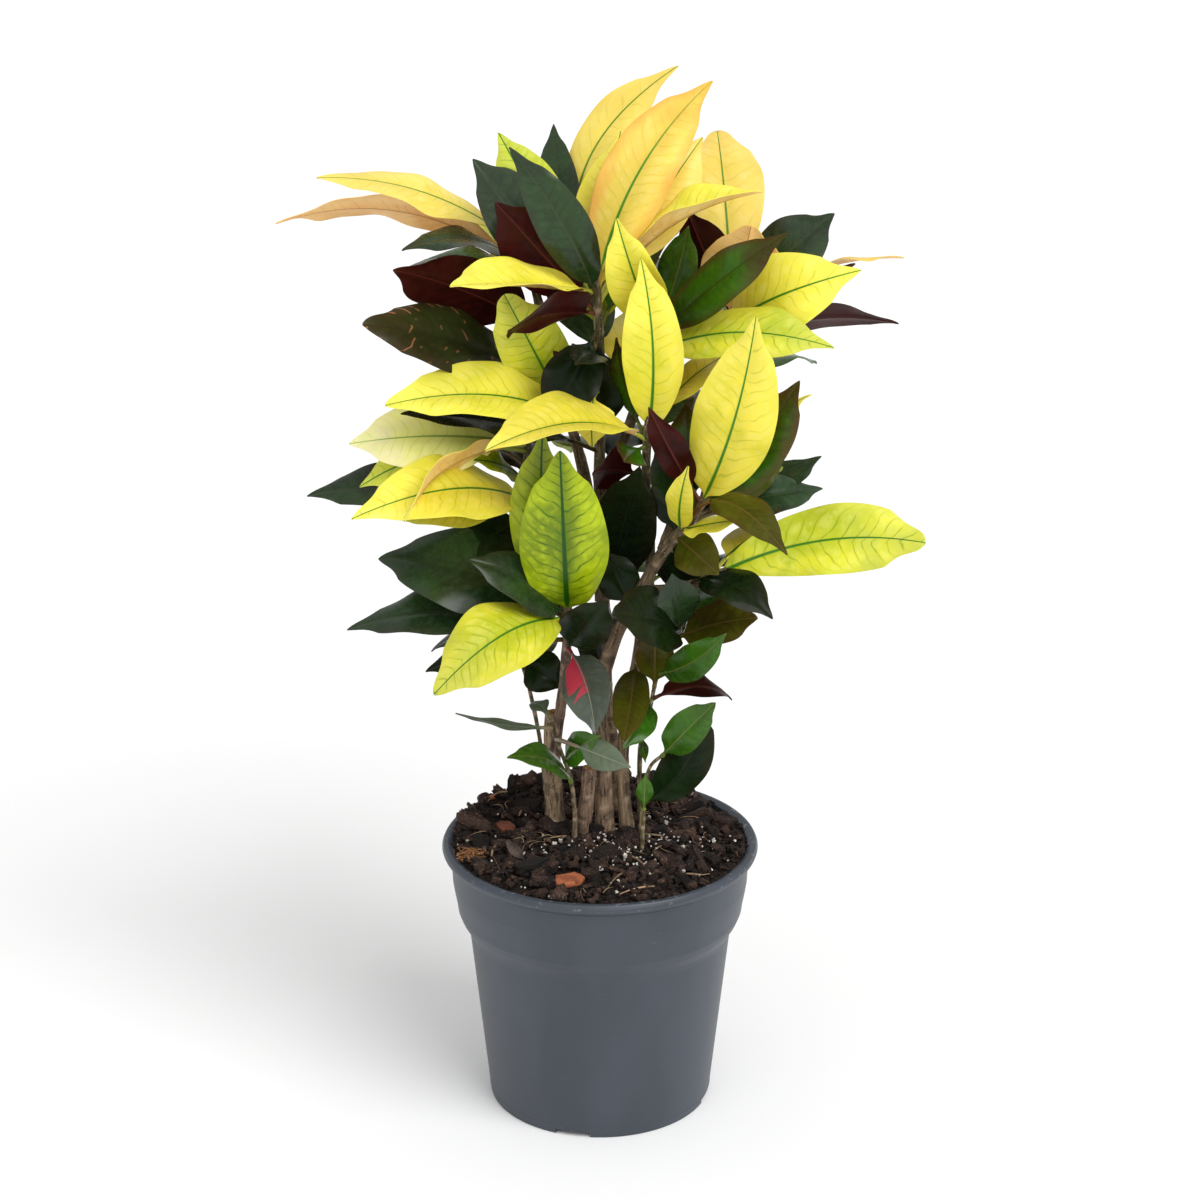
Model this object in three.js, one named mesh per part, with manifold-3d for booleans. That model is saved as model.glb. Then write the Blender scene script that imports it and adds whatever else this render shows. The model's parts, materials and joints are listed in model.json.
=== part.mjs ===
// A potted croton: several woody stems with broad waxy leaves, standing in potting mix in a nursery
// pot. Millimetres, +Z up. The origin is the middle of the pot's underside, on the surface that it
// stands on. The side with the open view of the stems faces -Y.

import * as THREE from 'three';
import { mergeVertices } from 'three/addons/utils/BufferGeometryUtils.js';
import Module from 'manifold-3d';

const wasm = await Module();
wasm.setup();

// ---------------------------------------------------------------------------------------------
// Driving dimensions
// ---------------------------------------------------------------------------------------------

const GAP = 0.3; // clearance between two pieces that touch on the real plant

const POT = {
  footRadius: 75,
  footRingWidth: 10,
  footRingHeight: 3,
  padRadius: 20,
  floorTop: 5,
  bodyTopRadius: 88,
  bodyTop: 122,
  step: [[89.8, 131], [90.2, 134], [91.8, 135]], // radius and height of each corner
  collar: [[96, 145], [99, 157]],
  collarRadius: 99.8,
  collarTop: 175,
  lip: [[105, 179.2], [106, 182], [104.6, 185.1], [102.5, 185.5]],
  wall: 1.9,
  segments: 32,
};
const DRAIN = { count: 8, radius: 5, circle: 45, depth: 10, segments: 10 };
const NOTCH = { azimuths: [-104, -14, 76, 166], width: 24, height: 3.5, length: 30 };

// The mix reaches the pot's wall at rim, and is heaped up along the rear wall, within limit.
const MIX = { middle: 189, slope: 5.8, shoulder: 60, rim: [101, 183.2] };
const HEAPS = {
  limit: 97.4,
  mounds: [
    { place: [-20, 80], reach: [64, 20], height: 12 },
    { place: [-82, 46], reach: [20, 26], height: 14 },
  ],
};
const BARK = { count: 10, seed: 7, sunk: 0.45 };
const CLAY_CHIPS = [
  { name: 'clay_chip_front', place: [-20, -68], turn: 20, size: 12 },
  { name: 'clay_chip_left', place: [-64, 12], turn: 115, size: 9 },
];
const CLAY_CHIP = {
  thickness: 4,
  sunk: 2.2,
  outline: [[-1, -0.35], [-0.45, -0.7], [0.5, -0.6], [1, 0.05], [0.55, 0.65], [-0.6, 0.6]],
};

const STEM_FOOT = 150; // height of the cut foot of every stem inside the mix
const BLADE = { thickness: 0.8, neck: 1.1, point: 0.35, cup: 0.15, wave: 1.5, waves: 2 };

// Each stem: the points of its curve, and its radius at the foot and at the top. A stem with from
// grows out of another one. The others stand in the mix.
const STEMS = {
  center: { radii: [6, 3], points: [[12, 35, STEM_FOOT], [12, 35, 189], [8, 45, 234], [4, 50, 272],
    [2, 50, 337], [0, 40, 424], [0, 20, 498], [-2, 0, 562]] },
  topleft: { from: 'center', radii: [4.2, 2.6], points: [[2, 50, 337], [-7, 55, 406],
    [-23, 60, 473], [-39, 60, 534], [-49, 60, 580]] },
  middle: { from: 'center', radii: [4, 2.6], points: [[0, 43, 396], [16, 30, 455], [31, 22, 504],
    [39, 20, 543]] },
  trunk: { radii: [6.8, 3], points: [[3, 5, STEM_FOOT], [3, 5, 183], [3, 8, 217], [1, 10, 249],
    [-1, 10, 284], [9, 10, 323], [26, 5, 359], [42, 0, 389], [58, -10, 413], [68, -15, 432]] },
  lowright: { from: 'trunk', radii: [3.8, 2.6], points: [[26, 5, 359], [47, 5, 361],
    [65, -5, 369], [74, -10, 376]] },
  topright: { from: 'trunk', radii: [4.2, 2.6], points: [[42, 0, 389], [59, 35, 433],
    [75, 55, 488], [86, 50, 543]] },
  front: { radii: [4.8, 2.8], points: [[18, 8, STEM_FOOT], [18, 8, 184], [15, 16, 235],
    [20, 25, 275], [27, 28, 317], [33, 28, 373], [30, 15, 425], [30, -10, 474]] },
  left: { radii: [6.2, 5.6], points: [[-30, 10, STEM_FOOT], [-30, 10, 188], [-32, 10, 231],
    [-31, 10, 272]] },
  leftup: { from: 'left', radii: [3.6, 3], points: [[-32, 10, 231], [-25, 0, 285],
    [-22, -5, 322], [-21, -15, 355]] },
  midleft: { from: 'left', radii: [3, 2.4], points: [[-21, -12, 345], [-34, 10, 379],
    [-46, 20, 417], [-47, 20, 458]] },
  stub: { radii: [5.2, 4.6], points: [[-12, -1, STEM_FOOT], [-11, -2, 191], [-9, -4, 215],
    [-7, -4, 238]] },
  shootL: { radii: [1.8, 1.2], points: [[-18, -12, STEM_FOOT], [-17, -11, 190], [-17, -9, 212],
    [-20, -10, 235], [-26, -12, 254], [-32, -12, 274]] },
  thinL: { radii: [1.5, 1.2], points: [[-36, 34, STEM_FOOT], [-36, 32, 190], [-40, 32, 239],
    [-47, 30, 280], [-53, 25, 307], [-56, 15, 350]] },
  shootR: { radii: [1.7, 1.2], points: [[27, 23, STEM_FOOT], [27, 22, 190], [27, 20, 241],
    [33, 15, 272], [37, 10, 295], [42, 5, 315], [52, 0, 333]] },
  lowR: { radii: [1.4, 1.1], points: [[27, -6, STEM_FOOT], [27, -5, 190], [29, -6, 219],
    [33, -8, 240], [42, -12, 251]] },
  tiny: { radii: [1.6, 1.2], points: [[28, -20, STEM_FOOT], [28, -20, 190], [29, -20, 218]] },
};

// Leaves of the side that faces -Y, by stem: height of the leaf's root on the stem, place of its
// tip, width, the way its upper side faces, and its bends. bow arches the midrib to the upper side
// and sway to its right, in mm. fold and twist are in degrees. stalk is the bare stalk's length.
// broad and taper are the powers of the outline towards the stalk and the tip.
const FRONT_LEAVES = {
  center: [
    [560, [70, 20, 690], 48, [-0.35, -0.9, 0.3], { bow: 8, sway: -11, fold: 8, stalk: 14 }],
    [555, [50, 75, 690], 36, [-0.6, -0.75, 0.1], { bow: 4, sway: -42, fold: 12, stalk: 56 }],
    [555, [-30, 90, 650], 26, [-0.1, -0.9, 0.3], { bow: 6, sway: -6, stalk: 40 }],
    [550, [-65, 60, 650], 38, [-0.2, -0.8, 0.5], { bow: 8, stalk: 40 }],
    [550, [-80, 25, 640], 46, [-0.2, -0.8, 0.5], { bow: 4, stalk: 24 }],
    [555, [-55, -40, 660], 34, [-0.1, -0.9, 0.35], { bow: 11, sway: 5, fold: 14, stalk: 12 }],
    [545, [-65, -10, 620], 48, [-0.2, 0.9, 0.2], { bow: -1, stalk: 16 }],
    [560, [-90, -85, 585], 54, [0, -0.3, 1], { bow: 3, fold: 28, stalk: 12 }],
    [555, [65, 45, 650], 44, [-0.1, -0.9, 0.3], { bow: 9, stalk: 24 }],
    [550, [100, -25, 630], 44, [0.1, -0.15, 1], { bow: 16, fold: 38, stalk: 30 }],
    [545, [-55, -75, 555], 54, [0, 0.85, 0.5], { bow: 7, stalk: 10 }],
    [455, [-135, -30, 495], 54, [0, -0.5, 0.85], { bow: 23, fold: 18, stalk: 20, taper: 0.8 }],
    [445, [-125, -30, 490], 40, [0, -0.3, 0.95], { bow: 7, stalk: 24 }],
    [490, [-5, -5, 460], 30, [-0.1, -0.7, 0.7], { bow: 21, stalk: 16 }],
    [338, [25, -30, 455], 46, [0, -0.9, 0.3], { bow: -1, stalk: 12 }],
    [535, [-32, -18, 478], 38, [0, -0.85, 0.5], { bow: 5, stalk: 10 }],
    [530, [0, 20, 462], 36, [0, -0.9, 0.4], { bow: 4, stalk: 8 }],
    [515, [-15, -60, 530], 26, [0, -0.8, 0.5], { bow: 4, stalk: 8 }],
    [480, [-30, 10, 520], 22, [0, 0.9, 0.2], { bow: 4, stalk: 6 }],
  ],
  topleft: [
    [572, [-180, 40, 625], 40, [0, -0.3, 0.95], { bow: 14, sway: 4, fold: 5, stalk: 24 }],
    [560, [-205, 20, 600], 40, [0.1, 0.6, 0.8], { bow: 25, stalk: 20 }],
    [545, [-125, 10, 585], 40, [0, -0.2, 0.95], { bow: 21, stalk: 20 }],
    [520, [-130, 0, 575], 58, [0, 0.9, 0.45], { bow: 8, stalk: 16 }],
    [480, [-150, 0, 540], 62, [0, -0.55, 0.85], { bow: 10, stalk: 20, taper: 0.8 }],
    [460, [-60, -5, 560], 44, [0, -0.9, 0.3], { bow: 5, stalk: 8, broad: 0.7, taper: 0.55 }],
  ],
  middle: [
    [530, [10, -35, 615], 38, [-0.2, -0.9, 0.3], { bow: 8, fold: 20, stalk: 10 }],
    [530, [55, 10, 600], 28, [-0.3, -0.9, 0.3], { bow: -6, stalk: 8 }],
    [515, [145, -40, 535], 48, [0, -0.55, 0.85], { bow: 16, stalk: 12 }],
    [525, [115, -30, 605], 33, [-0.2, -0.85, 0.5], { bow: 8, stalk: 12 }],
  ],
  trunk: [
    [425, [95, -60, 560], 54, [-0.1, -0.9, 0.35], { bow: 6, sway: 6, fold: 10, stalk: 6 }],
    [425, [125, -25, 510], 42, [-0.2, -0.9, 0.4], { bow: 6, sway: 6, stalk: 8 }],
    [420, [120, 20, 460], 40, [-0.2, -0.9, 0.4], { bow: 4, stalk: 10 }],
    [415, [145, 40, 441], 32, [0, -0.4, 0.9], { bow: -2, stalk: 20 }],
    [410, [145, 20, 425], 32, [0, -0.6, 0.8], { bow: 8, stalk: 20 }],
    [410, [115, -100, 420], 30, [0.2, -0.6, 0.7], { bow: 26, stalk: 38 }],
    [405, [55, -45, 460], 20, [-0.3, -0.9, 0.3], { bow: 7, stalk: 4 }],
    [405, [90, -75, 435], 26, [0, -0.6, 0.8], { bow: 1, stalk: 4 }],
    [400, [75, -50, 390], 30, [0, -0.9, 0.3], { bow: 6, stalk: 6, broad: 0.7, taper: 0.8 }],
    [420, [55, 10, 485], 34, [-0.3, -0.9, 0.3], { bow: 4, stalk: 10 }],
    [415, [35, -20, 465], 30, [0, -0.9, 0.3], { bow: 4, stalk: 8 }],
    [425, [30, -50, 500], 24, [0.1, 0.8, 0.4], { bow: -1, stalk: 16 }],
    [410, [50, 24, 350], 34, [0, -0.9, 0.35], { bow: 4, stalk: 6 }],
    [400, [42, -2, 450], 26, [0, -0.9, 0.3], { bow: 2, stalk: 4, broad: 0.7, taper: 0.7 }],
    [348, [4, 2, 386], 28, [0, -0.9, 0.3], { bow: 2, stalk: 3, broad: 0.6, taper: 0.6 }],
  ],
  lowright: [
    [372, [205, -50, 411], 46, [0, -0.9, 0.45],
      { bow: -4, sway: -13, fold: 8, stalk: 8, broad: 0.85, taper: 0.6 }],
    [365, [110, -50, 360], 36, [0, -0.4, 0.9], { bow: 16, stalk: 12 }],
  ],
  topright: [
    [540, [77, 120, 640], 53, [0, -0.9, 0.3], { bow: 24, stalk: 12, taper: 0.7 }],
    [520, [95, 15, 600], 52, [0, 0.9, 0.2], { bow: -1, stalk: 20, broad: 0.7, taper: 0.7 }],
    [535, [55, 40, 605], 34, [0, 0.9, 0.2], { bow: -1, stalk: 14 }],
    [520, [163, -10, 577], 56, [0, -0.85, 0.5], { bow: 22, stalk: 12 }],
    [535, [150, 50, 600], 46, [0, -0.7, 0.7], { bow: 6, stalk: 16 }],
    [530, [165, 60, 565], 36, [0, 0.75, 0.65], { bow: -4, stalk: 20 }],
    [530, [200, 90, 562], 36, [0, 0.3, 1], { bow: 12, stalk: 20 }],
    [510, [195, 60, 525], 36, [0, 0.6, 0.75], { bow: 12, stalk: 20 }],
  ],
  front: [
    [465, [-70, -95, 485], 54, [0, -0.35, 0.95], { bow: 16, fold: 26, stalk: 12 }],
    [465, [25, -35, 590], 40, [-0.1, -0.9, 0.35], { bow: 3, sway: 6, fold: 12, stalk: 8 }],
    [465, [10, 5, 530], 26, [-0.9, -0.5, 0.1], { bow: 4, stalk: 14 }],
    [460, [60, 35, 535], 26, [-0.8, 0.4, 0.1], { bow: 6, stalk: 20 }],
    [460, [15, -20, 455], 28, [0, -0.7, 0.7], { bow: 3, stalk: 8 }],
    [435, [-5, -10, 445], 40, [0, 0.9, 0.3], { bow: 6, stalk: 8 }],
    [300, [15, -50, 275], 25, [0, -0.95, 0.2], { bow: 4, stalk: 6, broad: 0.7, taper: 0.8 }],
  ],
  leftup: [
    [350, [-36, -20, 476], 46, [-0.15, -0.9, 0.35], { bow: 6, sway: -6, stalk: 6 }],
    [350, [-25, -45, 470], 58, [0, -0.9, 0.35], { bow: 8, stalk: 4, broad: 0.65, taper: 0.8 }],
    [345, [-105, -80, 320], 54, [0, -0.65, 0.8], { bow: 26, fold: 8, stalk: 8, taper: 0.8 }],
    [330, [-115, 0, 305], 30, [0, -0.4, 0.9], { bow: 8, stalk: 30 }],
    [345, [-145, 10, 380], 64, [0, -0.65, 0.8], { bow: 23, stalk: 20 }],
    [345, [-84, -38, 396], 42, [0, -0.55, 0.85], { bow: 10, stalk: 8 }],
    [340, [-165, -10, 338], 42, [0, -0.45, 0.9], { bow: 17, stalk: 24 }],
    [324, [4, -50, 372], 34, [0.1, -0.9, 0.3], { bow: 4, stalk: 6, broad: 0.7, taper: 0.8 }],
    [325, [-3, -60, 285], 34, [-0.1, -0.9, 0.3], { bow: 6, sway: -5, fold: 16, stalk: 10 }],
    [330, [12, 42, 322], 38, [0.6, -0.7, 0.1], { bow: 2, stalk: 4, broad: 0.65, taper: 0.65 }],
  ],
  midleft: [
    [415, [-190, 10, 423], 42, [0, -0.5, 0.85], { bow: 14, stalk: 30 }],
    [415, [-154, -75, 435], 56, [0, -0.6, 0.8], { bow: 20, fold: 12, stalk: 10 }],
    [415, [-135, -10, 414], 40, [0, -0.4, 0.9], { bow: 4, stalk: 16 }],
    [455, [-120, -95, 440], 30, [-0.3, 0.8, 0.5], { bow: 16, stalk: 16 }],
    [455, [-160, -10, 464], 54, [0, -0.75, 0.65], { bow: 12, stalk: 20 }],
    [450, [-155, 0, 432], 32, [0, -0.6, 0.75], { bow: 20, stalk: 40 }],
    [425, [-80, -15, 455], 24, [0, -0.5, 0.8], { bow: 6, stalk: 12 }],
    [405, [-94, -5, 382], 42, [0, -0.6, 0.8], { bow: 8, stalk: 8 }],
  ],
  shootL: [
    [270, [-95, -10, 280], 12, [0, -0.1, 1], { bow: -3, twist: 40, stalk: 8 }],
    [230, [-60, -50, 265], 28, [0, -0.5, 0.9], { bow: 10, stalk: 6 }],
    [245, [0, -50, 280], 22, [0, -0.8, 0.6], { bow: 6, stalk: 6 }],
    [262, [20, -60, 262], 20, [0, -0.9, 0.4], { bow: 12, stalk: 46 }],
    [274, [-45, 10, 280], 14, [0, -0.3, 0.9], { bow: 4, stalk: 6 }],
  ],
  thinL: [
    [307, [-24, 12, 289], 30, [0, -0.9, 0.3], { bow: 5, stalk: 4 }],
  ],
  shootR: [
    [333, [8, -62, 368], 44, [0, -0.75, 0.55], { bow: 8, stalk: 4, broad: 0.65, taper: 0.65 }],
    [333, [46, -32, 384], 32, [0.1, -0.9, 0.4], { bow: 3, stalk: 6 }],
    [325, [102, -20, 350], 38, [0, -0.6, 0.8], { bow: 6, stalk: 8, taper: 0.8 }],
    [300, [80, -50, 350], 24, [0, -0.9, 0.4], { bow: 3, sway: 5, stalk: 6 }],
    [280, [85, -50, 305], 26, [0, 0.95, 0.3], { bow: 12, stalk: 6 }],
    [280, [15, -30, 262], 24, [0, -0.9, 0.4], { bow: 6, stalk: 6 }],
    [250, [30, -10, 245], 7, [0, -0.9, 0.4], { bow: 2, stalk: 4 }],
    [290, [36, -5, 342], 26, [0, -0.9, 0.3], { bow: 3, stalk: 4 }],
  ],
  lowR: [
    [250, [75, -30, 295], 26, [-0.1, -0.9, 0.4], { bow: 6, stalk: 4, broad: 0.7, taper: 0.8 }],
    [212, [68, -12, 284], 32, [0.2, -0.9, 0.3], { bow: 4, sway: 9, stalk: 6, broad: 0.7, taper: 0.8 }],
  ],
  tiny: [
    [215, [30, -20, 240], 12, [0, -0.9, 0.4], { bow: 2, stalk: 2 }],
  ],
};

// Leaves of the far side, by stem: height of the root, azimuth from +X and rise of the tip in
// degrees, reach from root to tip, width, and bow.
const REAR_LEAVES = {
  center: [
    [545, 75, 62, 120, 42, 10], [540, 115, 42, 130, 46, 12], [530, 40, 45, 105, 42, 10],
    [520, 95, 30, 125, 48, 12], [505, 105, 25, 105, 44, 10], [495, 60, 12, 115, 48, 14],
    [450, 105, 5, 125, 52, 14], [430, 70, 0, 110, 46, 12], [390, 120, -5, 105, 46, 14],
    [370, 85, -10, 115, 50, 16], [345, 50, -5, 95, 42, 12],
  ],
  topleft: [
    [572, 75, 20, 95, 42, 10], [562, 115, 5, 105, 44, 12], [555, 160, -2, 95, 44, 12],
    [540, 100, 8, 115, 48, 14], [520, 140, 0, 110, 48, 14], [490, 115, -8, 110, 46, 14],
    [455, 155, -8, 100, 44, 14], [430, 95, -12, 95, 44, 14],
  ],
  trunk: [
    [430, 20, 40, 95, 42, 10], [425, 75, 15, 90, 40, 12], [415, 40, 12, 85, 38, 12],
    [400, 45, 0, 100, 44, 14], [360, 40, -5, 95, 42, 14],
  ],
  lowright: [[374, 50, 5, 90, 38, 12], [368, 45, -8, 70, 32, 12]],
  topright: [
    [540, 95, 45, 90, 40, 10], [535, 70, 20, 95, 44, 12], [520, 120, 18, 100, 44, 12],
    [505, 85, 5, 110, 48, 14], [480, 45, 0, 105, 44, 14], [455, 105, -5, 105, 46, 14],
    [430, 65, -8, 100, 44, 14],
  ],
  front: [[470, 30, 35, 80, 36, 8], [455, 70, 20, 80, 36, 8]],
  leftup: [
    [352, 100, 15, 90, 42, 12], [345, 155, 10, 100, 46, 14], [335, 180, -8, 90, 40, 14],
    [325, 95, -12, 80, 38, 12],
  ],
  midleft: [
    [455, 115, 35, 90, 42, 10], [450, 130, 18, 100, 44, 12], [440, 165, 8, 95, 42, 12],
    [425, 105, -2, 95, 44, 14],
  ],
  thinL: [[345, 100, 30, 75, 30, 8], [320, 150, 10, 70, 28, 8], [290, 80, 0, 70, 28, 10]],
  shootR: [[320, 60, 20, 75, 32, 8], [300, 85, 15, 80, 34, 10]],
};
const REAR = { stalk: 16, steep: 25, lean: 0.5 };

// One node for each plant that stands in the mix, with the stems that fork off it.
const PLANTS = [
  { name: 'tall_stem', stems: ['center', 'topleft', 'middle'], color: '#9aa032' },
  { name: 'right_stem', stems: ['trunk', 'lowright', 'topright'], color: '#b5ad35' },
  { name: 'middle_stem', stems: ['front'], color: '#c9b83a' },
  { name: 'left_stem', stems: ['left', 'leftup', 'midleft'], color: '#8f9a34' },
  { name: 'cut_stub', stems: ['stub'], color: '#7d6651' },
  { name: 'left_shoot', stems: ['shootL'], color: '#5c6b4a' },
  { name: 'left_rear_shoot', stems: ['thinL'], color: '#4d6138' },
  { name: 'right_shoot', stems: ['shootR'], color: '#46602f' },
  { name: 'low_right_shoot', stems: ['lowR'], color: '#5d7d3a' },
  { name: 'seedling', stems: ['tiny'], color: '#5d7d3a' },
];

const FINISH = {
  pot: { color: '#4b545f', roughness: 0.45, metalness: 0 },
  mix: { color: '#2e211a', roughness: 1, metalness: 0 },
  clay: { color: '#9a5740', roughness: 0.9, metalness: 0 },
  leaf: { roughness: 0.4, metalness: 0 },
};

// ---------------------------------------------------------------------------------------------
// Small tools
// ---------------------------------------------------------------------------------------------

const radians = THREE.MathUtils.degToRad;
const vec = (x, y, z) => new THREE.Vector3(x, y, z);

/** A closed geometry as a solid for joining and cutting. */
function toSolid(geometry) {
  const bare = new THREE.BufferGeometry();
  bare.setAttribute('position', geometry.getAttribute('position').clone());
  if (geometry.index) bare.setIndex(geometry.index.clone());
  const merged = mergeVertices(bare, 1e-4);
  const corners = merged.index.array;
  const faces = [];
  for (let i = 0; i < corners.length; i += 3) {
    const [a, b, c] = [corners[i], corners[i + 1], corners[i + 2]];
    if (a !== b && b !== c && c !== a) faces.push(a, b, c);
  }
  return new wasm.Manifold(new wasm.Mesh({
    numProp: 3,
    vertProperties: new Float32Array(merged.getAttribute('position').array),
    triVerts: new Uint32Array(faces),
  }));
}

/** A solid as a geometry. */
function toGeometry(solid) {
  const mesh = solid.getMesh();
  const geometry = new THREE.BufferGeometry();
  geometry.setAttribute('position', new THREE.BufferAttribute(mesh.vertProperties, 3));
  geometry.setIndex(new THREE.BufferAttribute(mesh.triVerts, 1));
  geometry.computeVertexNormals();
  return geometry;
}

/**
 * A closed body through rings of the same number of points, each running the right-hand way round
 * the direction of travel. The second half of each ring is split into triangles the other way, so
 * both faces of a thin blade are split alike.
 */
function loft(rings) {
  const sides = rings[0].length;
  const last = (rings.length - 1) * sides;
  const faces = [];
  for (let i = 0; i + 1 < rings.length; i += 1) {
    for (let k = 0; k < sides; k += 1) {
      const a = i * sides + k;
      const b = i * sides + ((k + 1) % sides);
      const c = a + sides;
      const d = b + sides;
      if (k < sides / 2) faces.push(a, b, d, a, d, c);
      else faces.push(a, b, c, b, d, c);
    }
  }
  for (let k = 1; k + 1 < sides; k += 1) faces.push(0, k + 1, k, last, last + k, last + k + 1);
  const geometry = new THREE.BufferGeometry().setFromPoints(rings.flat());
  geometry.setIndex(faces);
  return geometry;
}

/** Numbers from 0 to 1 that are the same on every run. */
function seededNumbers(seed) {
  let state = seed;
  return () => {
    state = (state * 16807) % 2147483647;
    return state / 2147483647;
  };
}

// ---------------------------------------------------------------------------------------------
// Stems
// ---------------------------------------------------------------------------------------------

/** The curve through a stem's points. */
function stemCurve(name) {
  const points = STEMS[name].points.map((p) => vec(...p));
  return new THREE.CatmullRomCurve3(points, false, 'catmullrom', 0.5);
}

/** The first point of a stem's curve at a height. */
function stemPointAt(name, height) {
  const samples = stemCurve(name).getPoints(12 * (STEMS[name].points.length - 1));
  const above = samples.findIndex((p) => p.z >= height);
  if (above < 1) return samples[above < 0 ? samples.length - 1 : 0].clone();
  const below = samples[above - 1];
  const share = (height - below.z) / (samples[above].z - below.z);
  return below.clone().lerp(samples[above], share);
}

/** A stem as a tapering tube. grow makes it wider and its foot deeper, to cut its hole. */
function stemTube(name, grow = 0) {
  const [footRadius, topRadius] = STEMS[name].radii;
  const sides = footRadius > 4.5 ? 8 : 6;
  const steps = Math.ceil((footRadius > 2 ? 1.5 : 1) * (STEMS[name].points.length - 1));
  const curve = stemCurve(name);
  const rings = [];
  for (let i = 0; i <= steps; i += 1) {
    const t = i / steps;
    const center = curve.getPoint(t);
    if (i === 0) center.z -= grow;
    const ahead = curve.getTangent(t);
    const across = ahead.clone().cross(vec(0, 1, 0)).normalize();
    const aside = ahead.clone().cross(across);
    const radius = THREE.MathUtils.lerp(footRadius, topRadius, t) + grow;
    const ring = [];
    for (let k = 0; k < sides; k += 1) {
      const angle = (2 * Math.PI * k) / sides;
      ring.push(center.clone()
        .addScaledVector(across, radius * Math.cos(angle))
        .addScaledVector(aside, radius * Math.sin(angle)));
    }
    rings.push(ring);
  }
  return loft(rings);
}

// ---------------------------------------------------------------------------------------------
// Leaves
// ---------------------------------------------------------------------------------------------

/** Half of a blade's width, at a share of the way from the stalk to the tip. */
function halfWidth(width, share, broad, taper) {
  const widest = broad / (broad + taper);
  const peak = widest ** broad * (1 - widest) ** taper;
  const half = (width / 2) * ((share ** broad * (1 - share) ** taper) / peak);
  return Math.max(half, share < 0.5 ? BLADE.neck : BLADE.point);
}

/** A leaf with its stalk, as one thin arched body from its root in the stem to its tip. */
function leaf({ root, tip, width, face, segments, bow, sway = 0, fold = 10, twist = 0, stalk,
  broad = 0.85, taper = 1 }) {
  const chord = tip.clone().sub(root);
  const length = chord.length();
  const along = chord.clone().normalize();
  const up = face.clone().addScaledVector(along, -face.dot(along)).normalize();
  const right = along.clone().cross(up);
  const middle = root.clone().addScaledVector(chord, 0.5)
    .addScaledVector(up, 2 * bow).addScaledVector(right, 2 * sway);
  const midrib = new THREE.QuadraticBezierCurve3(root, middle, tip);
  const start = Math.min(0.45, stalk / (1.03 * length));
  const tilt = radians(fold);

  const rows = [];
  for (let i = 0; i <= segments; i += 1) {
    const share = i / segments;
    const t = start + (1 - start) * share;
    const ahead = midrib.getTangent(t);
    const flat = face.clone().addScaledVector(ahead, -face.dot(ahead)).normalize();
    const side = ahead.clone().cross(flat);
    const turn = radians(twist * (share - 0.5));
    const normal = flat.clone().multiplyScalar(Math.cos(turn)).addScaledVector(side, Math.sin(turn));
    side.multiplyScalar(Math.cos(turn)).addScaledVector(flat, -Math.sin(turn));
    const half = halfWidth(width, share, broad, taper);
    rows.push([-1, 0, 1].map((u) => {
      const phase = 2 * Math.PI * BLADE.waves * share + (u > 0 ? 1.2 : 0);
      const wave = BLADE.wave * u * u * Math.sin(phase) * Math.min(1, half / 12);
      const lift = Math.abs(u) * half * Math.sin(tilt) - BLADE.cup * half * u * u + wave;
      return midrib.getPoint(t)
        .addScaledVector(side, u * half * Math.cos(tilt)).addScaledVector(normal, lift);
    }));
  }

  const rings = rows.map((row, i) => {
    const before = rows[Math.max(0, i - 1)][1];
    const after = rows[Math.min(segments, i + 1)][1];
    const ahead = after.clone().sub(before).normalize();
    const across = row[2].clone().sub(row[0]);
    const half = across.cross(ahead).normalize().multiplyScalar(BLADE.thickness / 2);
    return [...row.map((p) => p.clone().add(half)),
      ...[...row].reverse().map((p) => p.clone().sub(half))];
  });
  const stalkAhead = rows[0][1].clone().sub(root).normalize();
  const stalkUp = up.clone().addScaledVector(stalkAhead, -up.dot(stalkAhead)).normalize();
  const stalkRight = stalkAhead.clone().cross(stalkUp);
  const foot = [180, 90, 0, 0, -90, 180].map((degrees) => root.clone()
    .addScaledVector(stalkRight, BLADE.neck * Math.cos(radians(degrees)))
    .addScaledVector(stalkUp, BLADE.neck * Math.sin(radians(degrees))));
  return loft([foot, ...rings]);
}

/** A leaf of the near side, from its row in the table. */
function frontLeaf(stem, [height, tip, width, face, bends]) {
  const root = stemPointAt(stem, height);
  const end = vec(...tip);
  const length = root.distanceTo(end);
  const segments = THREE.MathUtils.clamp(Math.round(length / 38), 3, 5);
  return leaf({ root, tip: end, width, face: vec(...face).normalize(), segments, ...bends });
}

/** A leaf of the far side: a spray round the stem, steep ones leaning inwards. */
function rearLeaf(stem, [height, azimuth, rise, reach, width, bow]) {
  const root = stemPointAt(stem, height);
  const out = vec(Math.cos(radians(azimuth)), Math.sin(radians(azimuth)), 0);
  const tip = root.clone().addScaledVector(out, reach * Math.cos(radians(rise)));
  tip.z += reach * Math.sin(radians(rise));
  const face = vec(0, 0, 1);
  if (rise > REAR.steep) face.addScaledVector(out, -REAR.lean).normalize();
  const segments = reach > 112 ? 4 : 3;
  return leaf({ root, tip, width, face, segments, bow, stalk: REAR.stalk });
}

/** A plant: its stems, forks and leaves, grown into one body. */
function plantSolid(stems) {
  const pieces = stems.flatMap((stem) => [
    stemTube(stem),
    ...(FRONT_LEAVES[stem] ?? []).map((row) => frontLeaf(stem, row)),
    ...(REAR_LEAVES[stem] ?? []).map((row) => rearLeaf(stem, row)),
  ]);
  return wasm.Manifold.union(pieces.map(toSolid));
}

// ---------------------------------------------------------------------------------------------
// Pot and potting mix
// ---------------------------------------------------------------------------------------------

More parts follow.
